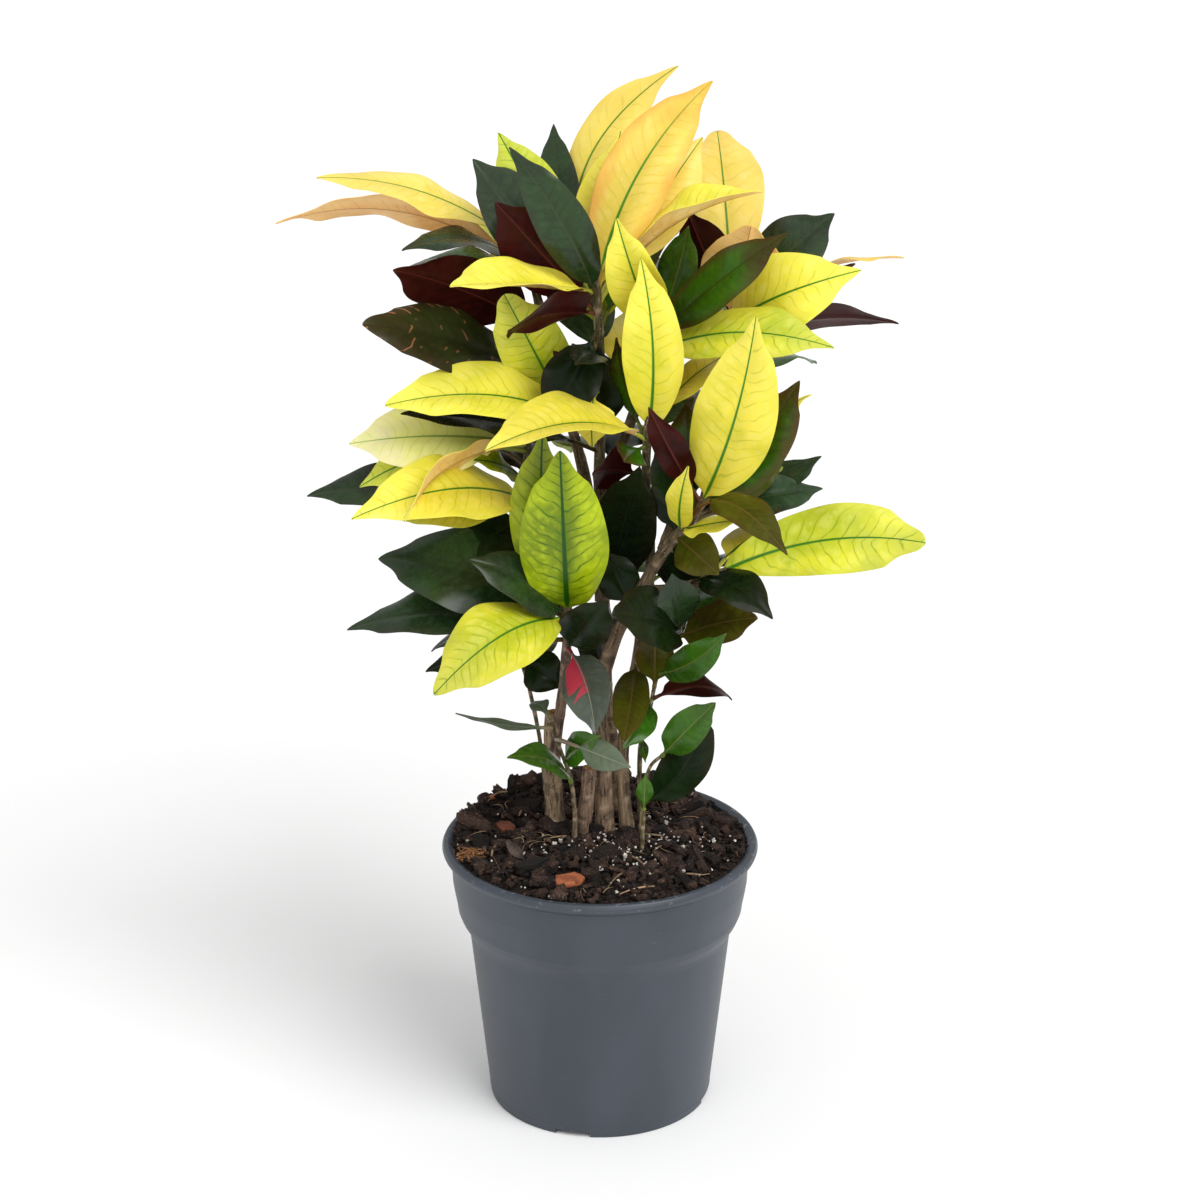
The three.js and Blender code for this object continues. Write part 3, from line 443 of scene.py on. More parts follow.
LEAF_FINISHES: dict[Kind, tuple[LeafFace, LeafFace]] = {
    Kind.YELLOW: (
        LeafFace("waxy_yellow_leaf_upper", "#FDEC50", "#D8D230", "#FDF28A", rib="#3F8214",
                 vein="#9CA628", margin="#E2DC44", tip="#FBEC7C", stalk="#B4B644", rib_width=2.8,
                 veins=0.4, clouds=0.7, wash=0.5, roughness=0.42, glow=0.16),
        LeafFace("waxy_yellow_leaf_under", "#F4D488", "#E6B45E", "#F8E29E", rib="#C9A050",
                 vein="#C89448", margin="#E4AE68", tip="#F0D28C", stalk="#B4B644", rib_width=2.4,
                 veins=0.3, roughness=0.5, polish=0.0, glow=0.16)),
    Kind.CREAM: (
        LeafFace("waxy_cream_leaf_upper", "#FBE56D", "#E4D24A", "#FFF0A0", rib="#5C8C22",
                 vein="#BEB44C", margin="#F2D466", tip="#F8D674", stalk="#B8B04C", rib_width=2.4,
                 veins=0.3, clouds=0.6, wash=0.5, edging=0.5, tipping=0.4, roughness=0.42,
                 glow=0.16),
        LeafFace("waxy_cream_leaf_under", "#F8CE8C", "#EAAE62", "#FADCA0", rib="#C99A50",
                 vein="#C88C48", margin="#E4A868", tip="#F0CC8C", stalk="#B8B04C", rib_width=2.2,
                 veins=0.3, roughness=0.5, polish=0.0, glow=0.16)),
    Kind.ORANGE: (
        LeafFace("waxy_orange_leaf_upper", "#FFE264", "#D2C444", "#FFEC98", rib="#4C8A1A",
                 vein="#B09A30", margin="#F8B450", tip="#F8BC50", stalk="#B08A44", rib_width=2.8,
                 rib_reach=0.9, veins=0.28, clouds=0.4, wash=0.6, edging=0.85, tipping=0.6,
                 roughness=0.42, glow=0.16),
        LeafFace("waxy_orange_leaf_under", "#FFCE88", "#F2B064", "#FFDCA0", rib="#C08444",
                 vein="#C4864A", margin="#E2A464", tip="#F2CE98", stalk="#B08A44", rib_width=2.2,
                 veins=0.3, roughness=0.5, polish=0.0, glow=0.2)),
    Kind.LEMON: (
        LeafFace("waxy_lemon_leaf_upper", "#DEDC34", "#AABA1C", "#F2EE84", rib="#3E7A16",
                 vein="#7C9420", margin="#B4BC38", tip="#E4E078", stalk="#98A43C", rib_width=2.8,
                 veins=0.65, clouds=0.75, wash=0.6, roughness=0.38, glow=0.14),
        LeafFace("waxy_lemon_leaf_under", "#D2CE80", "#B0AE58", "#E2E0A4", rib="#A6AA50",
                 vein="#A8A850", margin="#C2BE6A", tip="#DCDA98", stalk="#98A43C", rib_width=2.4,
                 veins=0.3, roughness=0.5, polish=0.0, glow=0.14)),
    Kind.LIME: (
        LeafFace("waxy_lime_leaf_upper", "#A4B408", "#5A7004", "#CCD630", rib="#1D4A04",
                 vein="#355C04", margin="#92A20E", tip="#A8B814", stalk="#6E8428", rib_width=4.6,
                 vein_width=1.1, veins=0.85, wash=1.1, pillow=0.4, roughness=0.34, glow=0.1),
        LeafFace("waxy_lime_leaf_under", "#AEB868", "#94A24C", "#C6CE88", rib="#82983C",
                 vein="#82943A", margin="#9CAC58", tip="#B8C274", stalk="#6E8428", rib_width=2.6,
                 veins=0.35, roughness=0.5, polish=0.0, glow=0.1)),
    Kind.PALE: (
        LeafFace("waxy_pale_leaf_upper", "#EAEA86", "#C4D05C", "#F6F4B8", rib="#8FA84A",
                 vein="#B4BE6A", margin="#E4D49A", tip="#E8DCBE", stalk="#B0B45A", rib_width=2.2,
                 veins=0.35, clouds=0.6, tipping=0.6, roughness=0.44, glow=0.16),
        LeafFace("waxy_pale_leaf_under", "#E8DCC0", "#D8C49A", "#F2EAD8", rib="#C9B480",
                 vein="#CDB98A", margin="#E2C8A0", tip="#EADFC8", stalk="#B0B45A", veins=0.25,
                 roughness=0.5, polish=0.0, glow=0.16)),
    Kind.GREEN: (
        LeafFace("waxy_green_leaf_upper", "#356206", "#224004", "#4A7A0E", rib="#34330A",
                 vein="#22360A", margin="#4A3A18", tip="#4A2C18", stalk="#66702C", rib_width=1.6,
                 edging=0.9, tipping=0.7, pillow=0.25, roughness=0.28, shine=0.15, polish=0.12, glow=0.04),
        dark_under("green")),
    Kind.FLECKED: (
        LeafFace("waxy_flecked_leaf_upper", "#343F1A", "#272C12", "#445222", rib="#2A2F12",
                 vein="#232A10", margin="#40381C", tip="#443820", stalk="#66702C", rib_width=1.4,
                 edging=0.8, tipping=0.5, flecks=0.75, roughness=0.32, shine=0.15, polish=0.12, glow=0.04),
        dark_under("flecked")),
    Kind.DARK: (
        LeafFace("waxy_dark_leaf_upper", "#26401C", "#182A14", "#385430", rib="#33401F",
                 vein="#182216", margin="#2E3022", tip="#333A2C", stalk="#54462C", rib_width=1.6,
                 pillow=0.35, edging=0.6, roughness=0.27, shine=0.25, polish=0.25, glow=0.03),
        dark_under("dark")),
    # Leaves deep inside the crown: both faces are darker than the leaves' own colours, and the extra
    # darkness is painted shade.
    Kind.DEEP_PAINTED_SHADE: (
        LeafFace("waxy_deep_green_painted_shade_leaf_upper", "#14260C", "#0B1808", "#203816", rib="#222812",
                 vein="#0E150A", margin="#241F10", tip="#2A2414", stalk="#3E3A1C", rib_width=1.4,
                 pillow=0.3, edging=0.6, roughness=0.28, shine=0.1, polish=0.07, glow=0.02),
        dark_under("deep_green_painted_shade", "#2A100C", "#180906", "#3C1812")),
    Kind.MAROON: (
        LeafFace("waxy_maroon_leaf_upper", "#2C2412", "#1D160B", "#3A3118", rib="#38220F",
                 vein="#181008", margin="#341910", tip="#3A1F14", stalk="#5E3824", rib_width=1.6,
                 edging=0.8, roughness=0.3, shine=0.12, polish=0.08, glow=0.03),
        dark_under("maroon", "#40140F", "#290C07", "#5A2019")),
    Kind.OLIVE: (
        LeafFace("waxy_olive_leaf_upper", "#4A4E0E", "#332F06", "#5E661C", rib="#5E4E24",
                 vein="#2E2A0C", margin="#4A3616", tip="#4E3C1C", stalk="#7A6A34", rib_width=2.0,
                 edging=0.7, roughness=0.31, shine=0.12, polish=0.08, glow=0.04),
        dark_under("olive", "#4E2A1A", "#34180E", "#66402A")),
    Kind.FRESH: (
        LeafFace("waxy_fresh_leaf_upper", "#3C6A12", "#28480C", "#568A24", rib="#66702E",
                 vein="#284210", margin="#3A521A", tip="#486224", stalk="#74843C", rib_width=1.4,
                 veins=0.3, roughness=0.27, shine=0.2, polish=0.2, glow=0.06),
        LeafFace("waxy_fresh_leaf_under", "#5E7838", "#4A622A", "#768E4C", rib="#82924E",
                 vein="#465C2A", margin="#566C32", tip="#688040", stalk="#74843C", rib_width=1.6,
                 veins=0.2, roughness=0.45, polish=0.0, glow=0.06)),
    Kind.GREY: (
        LeafFace("waxy_grey_leaf_upper", "#5C6850", "#444E3A", "#74806A", rib="#747C66",
                 vein="#3C463A", margin="#4E584A", tip="#66705F", stalk="#8A7A60", rib_width=1.2,
                 veins=0.2, roughness=0.38, glow=0.05),
        LeafFace("waxy_grey_leaf_under", "#7D7A66", "#66644F", "#96927C", rib="#9A9078",
                 vein="#5E5A48", margin="#726E5A", tip="#8A8670", stalk="#8A7A60", rib_width=1.4,
                 veins=0.2, roughness=0.5, polish=0.0, glow=0.05)),
    Kind.PINK: (
        LeafFace("waxy_pink_patched_leaf_upper", "#474F44", "#33392F", "#5E675A", rib="#7E7868",
                 vein="#30372E", margin="#404838", tip="#525C4E", stalk="#7E343A", spot="#B03044",
                 rib_width=1.2, veins=0.2, patch=0.95, roughness=0.36, polish=0.2, glow=0.06),
        dark_under("pink_patched", "#7E2C3A", "#5C1C28", "#98404E")),
}


# ---- Finishes of the wood, the pot and the mix ----


@dataclass(frozen=True)
class Bark:
    """Croton bark, grown: thin and dull, with furrows along the stem and corky dots across it.

    Attributes:
        name: The material's name.
        old: Colour low on the stem.
        young: Colour high on the stem, where green shows through.
        crack: Colour of the furrows and the dark patches.
        cork: Colour of the corky dots and leaf scars.
    """

    name: str = "croton_bark"
    old: str = "#7C6650"
    young: str = "#54502F"
    crack: str = "#2C2019"
    cork: str = "#A89276"

    def material(self) -> bpy.types.Material:
        """Mixes the bark from the marks that every stem carries."""
        coat = Coat(self.name)
        ramp = coat.ramp
        rise, scar, tone = coat.marks("rise", "scar", "tone")
        place = coat.place()
        # Furrows about 1.5 mm apart round the stem and seven times as long along it.
        furrows = coat.noise(coat.stretch(place, 0.14, 1, 1), 1.5, 4)
        patches = coat.noise(place, 9, 3)
        dots = coat.add("TexVoronoi", {"Scale": 1 / 2.6}, {"Vector": place}, "Distance")
        dot = ramp(dots, 0.1, 0.24, 0.8, 0)
        worn = coat.layers(
            self.old, (ramp(rise, 0.25, 0.8), self.young), (ramp(furrows, 0.53, 0.66, 0, 0.6), self.cork),
            (ramp(patches, 0.52, 0.62, 0, 0.55), self.crack),
            (ramp(furrows, 0.47, 0.34, 0, 0.85), self.crack), (dot, self.cork), (scar, self.cork))
        colour = coat.toned(worn, tone, (0.8, 1.1), (0.485, 0.508))
        normal = coat.relief(coat.shift(furrows, dot, 0.6), 0.7, 0.0006)
        return coat.close({"Roughness": 0.82, "IOR": 1.45}, {"Base Color": colour, "Normal": normal})


@dataclass(frozen=True)
class CutWood:
    """Wood where a stem was cut across: dry, with rings about 1 mm apart and a brown heart.

    Attributes:
        name: The material's name.
        wood: Colour of the wood.
        heart: Colour of the heart and of the rings.
    """

    name: str = "cut_croton_wood"
    wood: str = "#B47C40"
    heart: str = "#5E3716"

    def material(self) -> bpy.types.Material:
        """Mixes the cut wood from the marks that every stem carries."""
        coat = Coat(self.name)
        (from_heart,) = coat.marks("from_heart")
        rough = coat.noise(coat.place(), 1.2, 3)
        ring = coat.zigzag(coat.shift(from_heart, rough, 0.5))
        heart = coat.ramp(from_heart, 0.5, 1.8, 0.9, 0)
        colour = coat.layers(self.wood, (coat.ramp(ring, 0, 0.3, 0.6, 0), self.heart),
                             (heart, self.heart))
        normal = coat.relief(rough, 0.6, 0.0004)
        return coat.close({"Roughness": 0.85}, {"Base Color": colour, "Normal": normal})


@dataclass(frozen=True)
class Crumble:
    """Loose dry or damp matter with no shine: bark, peat, puffed glass, clay or fibre.

    Attributes:
        name: The material's name.
        base: Colour of most of it.
        dark: Colour of its damp side and hollows.
        pale: Colour of its worn edges and fresh breaks.
        grain: Size of the mottle, in millimetres.
        spread: How far the pieces differ in lightness.
        roughness: The roughness, near 1 for anything crumbly.
        bump: Depth of its grain, in millimetres.
    """

    name: str
    base: str
    dark: str
    pale: str
    grain: float = 1.6
    spread: float = 0.5
    roughness: float = 0.9
    bump: float = 0.5

    def material(self) -> bpy.types.Material:
        """Mixes the matter, with a tone of its own for each piece."""
        coat = Coat(self.name)
        (tone,) = coat.marks("tone")
        place = coat.add("TexCoord", output="Object")
        grain = coat.noise(place, self.grain * METRES, 4, 0.65)
        blots = coat.noise(place, 6 * self.grain * METRES, 2)
        mixed = coat.layers(self.base, (coat.ramp(blots, 0.45, 0.62), self.dark),
                            (coat.ramp(grain, 0.56, 0.72, 0, 0.8), self.pale))
        colour = coat.toned(mixed, tone, (1 - self.spread, 1 + self.spread))
        normal = coat.relief(grain, 0.8, self.bump * METRES)
        return coat.close({"Roughness": self.roughness, "IOR": 1.4},
                          {"Base Color": colour, "Normal": normal})


@dataclass(frozen=True)
class PotPlastic:
    """Grey-blue polypropylene, injection moulded: satin, with faint flow clouds and fine scuffs.

    Attributes:
        name: The material's name.
        base: Colour of the plastic.
        cloud: Colour of the faint flow marks.
        scuff: Colour of scratches and of dust on the lip.
    """

    name: str = "moulded_polypropylene"
    base: str = "#2F363F"
    cloud: str = "#373E49"
    scuff: str = "#747B85"

    def material(self) -> bpy.types.Material:
        """Mixes the plastic, with dust on the lip and scuffs on the wall."""
        coat = Coat(self.name)
        ramp = coat.ramp
        place = coat.add("TexCoord", output="Object")
        height = coat.add("SeparateXYZ", links={0: place}, output="Z")
        clouds = coat.noise(coat.stretch(place, 1, 1, 0.35), 0.045, 2)
        # Scuffs: thin streaks, 1 mm wide and 8 mm long, where the pot rubbed against others.
        scratches = coat.noise(coat.stretch(place, 1, 1, 6), 0.012, 6, 0.7)
        # Dust and dried splashes lie on the lip, above 178 mm.
        dust = ramp(coat.noise(place, 0.004, 3), 0.6, 0.7, 0, 0.8)
        dusted = coat.times(ramp(height, 0.178, 0.1845), dust)
        colour = coat.layers(
            self.base, (ramp(clouds, 0.4, 0.65, 0, 0.9), self.cloud),
            (ramp(scratches, 0.66, 0.72, 0, 0.3), self.scuff), (dusted, self.scuff))
        # The mould's fine grain, 0.5 mm, drawn coarser than the real one so that it shows.
        normal = coat.relief(coat.noise(place, 0.0005, 1), 0.12, 0.0001)
        roughness = ramp(clouds, 0, 1, 0.36, 0.5)
        return coat.close({"IOR": 1.49, "Specular IOR Level": 0.6},
                          {"Base Color": colour, "Roughness": roughness, "Normal": normal})


BARK_CHIPS = Crumble("composted_pine_bark", "#33231C", "#150E0B", "#7C6250", grain=1.5, spread=0.85,
                     bump=0.8)
PEAT = Crumble("damp_peat", "#231812", "#120C08", "#4E3B30", grain=1.1, spread=0.55, bump=0.7)
PERLITE = Crumble("puffed_perlite", "#D8D3C9", "#AFA698", "#EFECE5", grain=0.8, spread=0.2,
                  roughness=0.8, bump=0.3)
ROOT_FIBRE = Crumble("dry_root_fibre", "#9C8264", "#6B543C", "#C4AC88", grain=0.8, spread=0.35)
COIR = Crumble("coir_fibre", "#94663E", "#6A4628", "#C49A6A", grain=0.8, spread=0.4)
DRY_LEAF = Crumble("dried_leaf", "#5E5048", "#453A33", "#7C6E64", grain=2.2, spread=0.2, bump=0.2)
CLAY = Crumble("fired_clay", "#A9623F", "#8A4A30", "#C48060", grain=1.0, spread=0.15, bump=0.35)
DAMP_CLAY = Crumble("damp_fired_clay", "#73402C", "#55301F", "#8E5A40", grain=1.0, spread=0.15,
                    bump=0.35)


# ---- Meshes ----


def unit(vectors: Array) -> Array:
    """Scales each vector of an array to a length of 1."""
    return vectors / np.maximum(np.linalg.norm(vectors, axis=-1, keepdims=True), 1e-9)


def tube_faces(rings: int, sides: int) -> Array:
    """Joins rings of points into a tube.

    Args:
        rings: How many rings there are, one after the other.
        sides: How many points each ring has.

    Returns:
        Four corners for each face, facing out where a ring runs the right-hand way round.
    """
    ring, side = np.meshgrid(np.arange(rings - 1), np.arange(sides), indexing="ij")
    here = ring * sides + side
    beside = ring * sides + (side + 1) % sides
    return np.stack([here, beside, beside + sides, here + sides], -1).reshape(-1, 4)


def cap_faces(sides: int, first: int, at_foot: bool) -> Array:
    """Closes the end of a tube with a ladder of faces.

    Args:
        sides: How many points the end ring has, an even number.
        first: The index of the ring's first point.
        at_foot: Whether it is the end that the tube starts from.

    Returns:
        Four corners for each face.
    """
    rung = np.arange(sides // 2 - 1)
    faces = np.stack([rung, rung + 1, sides - 2 - rung, sides - 1 - rung], -1) + first
    return faces[:, ::-1] if at_foot else faces


def closed_faces(rings: int, sides: int) -> Array:
    """The faces of a tube, then those that close its foot, then those of its other end."""
    return np.concatenate([tube_faces(rings, sides), cap_faces(sides, 0, at_foot=True),
                           cap_faces(sides, (rings - 1) * sides, at_foot=False)])


def linked(name: str, data: bpy.types.ID) -> bpy.types.Object:
    """Makes an object of a mesh, a light or a camera, and puts it into the scene."""
    made = bpy.data.objects.new(name, data)
    bpy.context.scene.collection.objects.link(made)
    return made


class Form:
    """Gathers the points and faces of one piece, with the values that its finish reads."""

    def __init__(self) -> None:
        """Starts with nothing in it."""
        self.points: list[Array] = []
        self.faces: list[list[int]] = []
        self.finishes: list[int] = []
        self.marks: dict[str, list[Array]] = {}
        self.layout: list[Array] = []
        self.count = 0

    def add(self, points: Array, faces: Array, finish: int | Array = 0,
            layout: Array | None = None, **marks: Array | float) -> None:
        """Adds one closed body.

        Args:
            points: Its points, in millimetres.
            faces: The corners of its faces, counted from its own first point.
            finish: The number of the material on each face, or on all of them.
            layout: Where each corner of each face lies on the piece's flat map, from 0 to 1.
            marks: Values for its points, or one for all of them, by name.
        """
        points = np.asarray(points, float).reshape(-1, 3)
        faces = np.asarray(faces)
        self.faces.extend((faces + self.count).tolist())
        self.finishes.extend(np.broadcast_to(finish, len(faces)).tolist())
        if layout is not None:
            self.layout.append(layout)
        for name, value in marks.items():
            value = np.asarray(value, float)
            whole = np.full(len(points), float(value)) if value.ndim == 0 else value
            self.marks.setdefault(name, []).append(whole)
        self.points.append(points)
        self.count += len(points)

    def build(self, name: str, materials: list[bpy.types.Material], slot: str, *nodes: str,
              smooth: bool = True, crease: float | None = None) -> bpy.types.Object:
        """Makes the piece, puts it on the plant's body and hides the CAD nodes that it stands for.

        Args:
            name: The piece's name.
            materials: Its materials, in the order of the faces' numbers.
            slot: The record's material slot; not used.
            nodes: The CAD nodes that it stands for.
            smooth: Whether its faces are shaded round.
            crease: Edges sharper than this many degrees stay sharp.

        Returns:
            The finished object.
        """
        mesh = bpy.data.meshes.new(name)
        mesh.from_pydata((np.concatenate(self.points) * METRES).tolist(), [], self.faces)
        for material in materials:
            mesh.materials.append(material)
        mesh.polygons.foreach_set("material_index", self.finishes)
        for mark, values in self.marks.items():
            joined = np.concatenate(values)
            is_vector = joined.ndim == 2
            kind = "FLOAT_VECTOR" if is_vector else "FLOAT"
            attribute = mesh.attributes.new(mark, kind, "POINT")
            attribute.data.foreach_set("vector" if is_vector else "value", joined.ravel())
        if self.layout:
            flat_map = mesh.uv_layers.new(name="OFBake")
            flat_map.data.foreach_set("uv", np.concatenate(self.layout).ravel())
        mesh.polygons.foreach_set("use_smooth", [smooth] * len(mesh.polygons))
        if crease is not None:
            mesh.set_sharp_from_angle(angle=math.radians(crease))
        mesh.update()
        piece = linked(name, mesh)
        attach(piece, BODY)
        if nodes:
            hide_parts(*nodes)
        LOG.info("%s: %d faces", name, len(mesh.polygons))
        return piece


# ---- The plant's plan: where each stem runs and each leaf grows ----


@dataclass(frozen=True)
class Stem:
    """A woody stem.

    Attributes:
        parent: The stem that it grows out of, or None where it stands in the mix.
        radii: Its radius at the foot and at the top.
        points: The points that its middle line runs through.
    """

    parent: str | None
    radii: Pair
    points: tuple[Triple, ...]

    def curve(self, share: Array) -> Array:
        """The middle line, as an even Catmull-Rom curve.

        Args:
            share: Shares of the way from its first point to its last.

        Returns:
            One point for each share.
        """
        points = np.array(self.points, float)
        points = np.vstack([2 * points[0] - points[1], points, 2 * points[-1] - points[-2]])
        spans = len(self.points) - 1
        at = np.clip(np.asarray(share, float), 0, 1) * spans
        span = np.minimum(at.astype(int), spans - 1)
        w = (at - span)[:, None]
        before, start, end, after = (points[span + k] for k in range(4))
        leave, arrive = (end - before) / 2, (after - start) / 2
        return ((2 * start - 2 * end + leave + arrive) * w**3
                + (3 * end - 3 * start - 2 * leave - arrive) * w**2 + leave * w + start)

    def point_at(self, height: float) -> Array:
        """The first point of the middle line at a height."""
        samples = self.curve(np.linspace(0, 1, 12 * (len(self.points) - 1) + 1))
        above = np.nonzero(samples[:, 2] >= height)[0]
        if len(above) == 0:
            return samples[-1]
        last = above[0]
        if last == 0:
            return samples[0]
        low, high = samples[last - 1], samples[last]
        return low + (high - low) * (height - low[2]) / (high[2] - low[2])


@dataclass(frozen=True)
class Leaf:
    """One leaf with its stalk.

    Attributes:
        root: Where its stalk leaves the stem's middle line.
        tip: The tip of the blade.
        face: The way its upper side faces.
        width: Width of the blade.
        kind: How it is coloured.
        bow: How far the midrib arches to the upper side.
        sway: How far it arches to its right.
        fold: How far each half is folded up, in degrees.
        twist: How far the blade turns from stalk to tip, in degrees.
        stalk: Length of the bare stalk.
        broad: Power of the outline towards the stalk.
        taper: Power of the outline towards the tip.
    """

    root: Array
    tip: Array
    face: Array
    width: float
    kind: Kind
    bow: float = 0.0
    sway: float = 0.0
    fold: float = 10.0
    twist: float = 0.0
    stalk: float = 16.0
    broad: float = 0.85
    taper: float = 1.0


@dataclass(frozen=True)
class NearLeaf:
    """A leaf of the side that faces -Y: the height of its root, its tip, and what Leaf says."""

    height: float
    tip: Triple
    width: float
    face: Triple
    kind: Kind
    bow: float
    sway: float = 0.0
    fold: float = 10.0
    twist: float = 0.0
    stalk: float = 16.0
    broad: float = 0.85
    taper: float = 1.0

    def grow(self, stem: Stem) -> Leaf:
        """The leaf, where it grows on this stem."""
        return Leaf(stem.point_at(self.height), np.array(self.tip, float),
                    unit(np.array(self.face, float)), self.width, self.kind, self.bow, self.sway,
                    self.fold, self.twist, self.stalk, self.broad, self.taper)


STEEP = 25  # rise in degrees past which a far leaf's upper side leans in
LEAN = 0.5  # how far it leans towards the stem for each part that it faces up


@dataclass(frozen=True)
class FarLeaf:
    """A leaf of the far side, in a spray round its stem.

    Attributes:
        height: Height of its root.
        azimuth: Where it points, in degrees from +X.
        rise: How steeply the tip rises, in degrees.
        reach: From root to tip.
        width: Width of the blade.
        bow: How far the midrib arches to the upper side.
        kind: How it is coloured.
    """

    height: float
    azimuth: float
    rise: float
    reach: float
    width: float
    bow: float
    kind: Kind

    def grow(self, stem: Stem) -> Leaf:
        """The leaf, where it grows on this stem."""
        turn, rise = math.radians(self.azimuth), math.radians(self.rise)
        out = np.array([math.cos(turn), math.sin(turn), 0.0])
        up = np.array([0.0, 0.0, 1.0])
        root = stem.point_at(self.height)
        tip = root + self.reach * (math.cos(rise) * out + math.sin(rise) * up)
        face = unit(up - LEAN * out) if self.rise > STEEP else up
        return Leaf(root, tip, face, self.width, self.kind, self.bow)


# Each stem: what it grows out of, its radii at the foot and at the top, and its middle line.
STEMS: dict[str, Stem] = {
    "center": Stem(None, (6, 3), (
        (12, 35, 150), (12, 35, 189), (8, 45, 234), (4, 50, 272), (2, 50, 337), (0, 40, 424),
        (0, 20, 498), (-2, 0, 562))),
    "topleft": Stem("center", (4.2, 2.6), (
        (2, 50, 337), (-7, 55, 406), (-23, 60, 473), (-39, 60, 534), (-49, 60, 580))),
    "middle": Stem("center", (4, 2.6), (
        (0, 43, 396), (16, 30, 455), (31, 22, 504), (39, 20, 543))),
    "trunk": Stem(None, (6.8, 3), (
        (3, 5, 150), (3, 5, 183), (3, 8, 217), (1, 10, 249), (-1, 10, 284), (9, 10, 323), (26, 5, 359),
        (42, 0, 389), (58, -10, 413), (68, -15, 432))),
    "lowright": Stem("trunk", (3.8, 2.6), (
        (26, 5, 359), (47, 5, 361), (65, -5, 369), (74, -10, 376))),
    "topright": Stem("trunk", (4.2, 2.6), (
        (42, 0, 389), (59, 35, 433), (75, 55, 488), (86, 50, 543))),
    "front": Stem(None, (4.8, 2.8), (
        (18, 8, 150), (18, 8, 184), (15, 16, 235), (20, 25, 275), (27, 28, 317), (33, 28, 373),
        (30, 15, 425), (30, -10, 474))),
    "left": Stem(None, (6.2, 5.6), (
        (-30, 10, 150), (-30, 10, 188), (-32, 10, 231), (-31, 10, 272))),
    "leftup": Stem("left", (3.6, 3), (
        (-32, 10, 231), (-25, 0, 285), (-22, -5, 322), (-21, -15, 355))),
    "midleft": Stem("left", (3, 2.4), (
        (-21, -12, 345), (-34, 10, 379), (-46, 20, 417), (-47, 20, 458))),
    "stub": Stem(None, (5.2, 4.6), (
        (-12, -1, 150), (-11, -2, 191), (-9, -4, 215), (-7, -4, 238))),
    "shootL": Stem(None, (1.8, 1.2), (
        (-18, -12, 150), (-17, -11, 190), (-17, -9, 212), (-20, -10, 235), (-26, -12, 254),
        (-32, -12, 274))),
    "thinL": Stem(None, (1.5, 1.2), (
        (-36, 34, 150), (-36, 32, 190), (-40, 32, 239), (-47, 30, 280), (-53, 25, 307), (-56, 15, 350))),
    "shootR": Stem(None, (1.7, 1.2), (
        (27, 23, 150), (27, 22, 190), (27, 20, 241), (33, 15, 272), (37, 10, 295), (42, 5, 315),
        (52, 0, 333))),
    "lowR": Stem(None, (1.4, 1.1), (
        (27, -6, 150), (27, -5, 190), (29, -6, 219), (33, -8, 240), (42, -12, 251))),
    "tiny": Stem(None, (1.6, 1.2), (
        (28, -20, 150), (28, -20, 190), (29, -20, 218))),
}

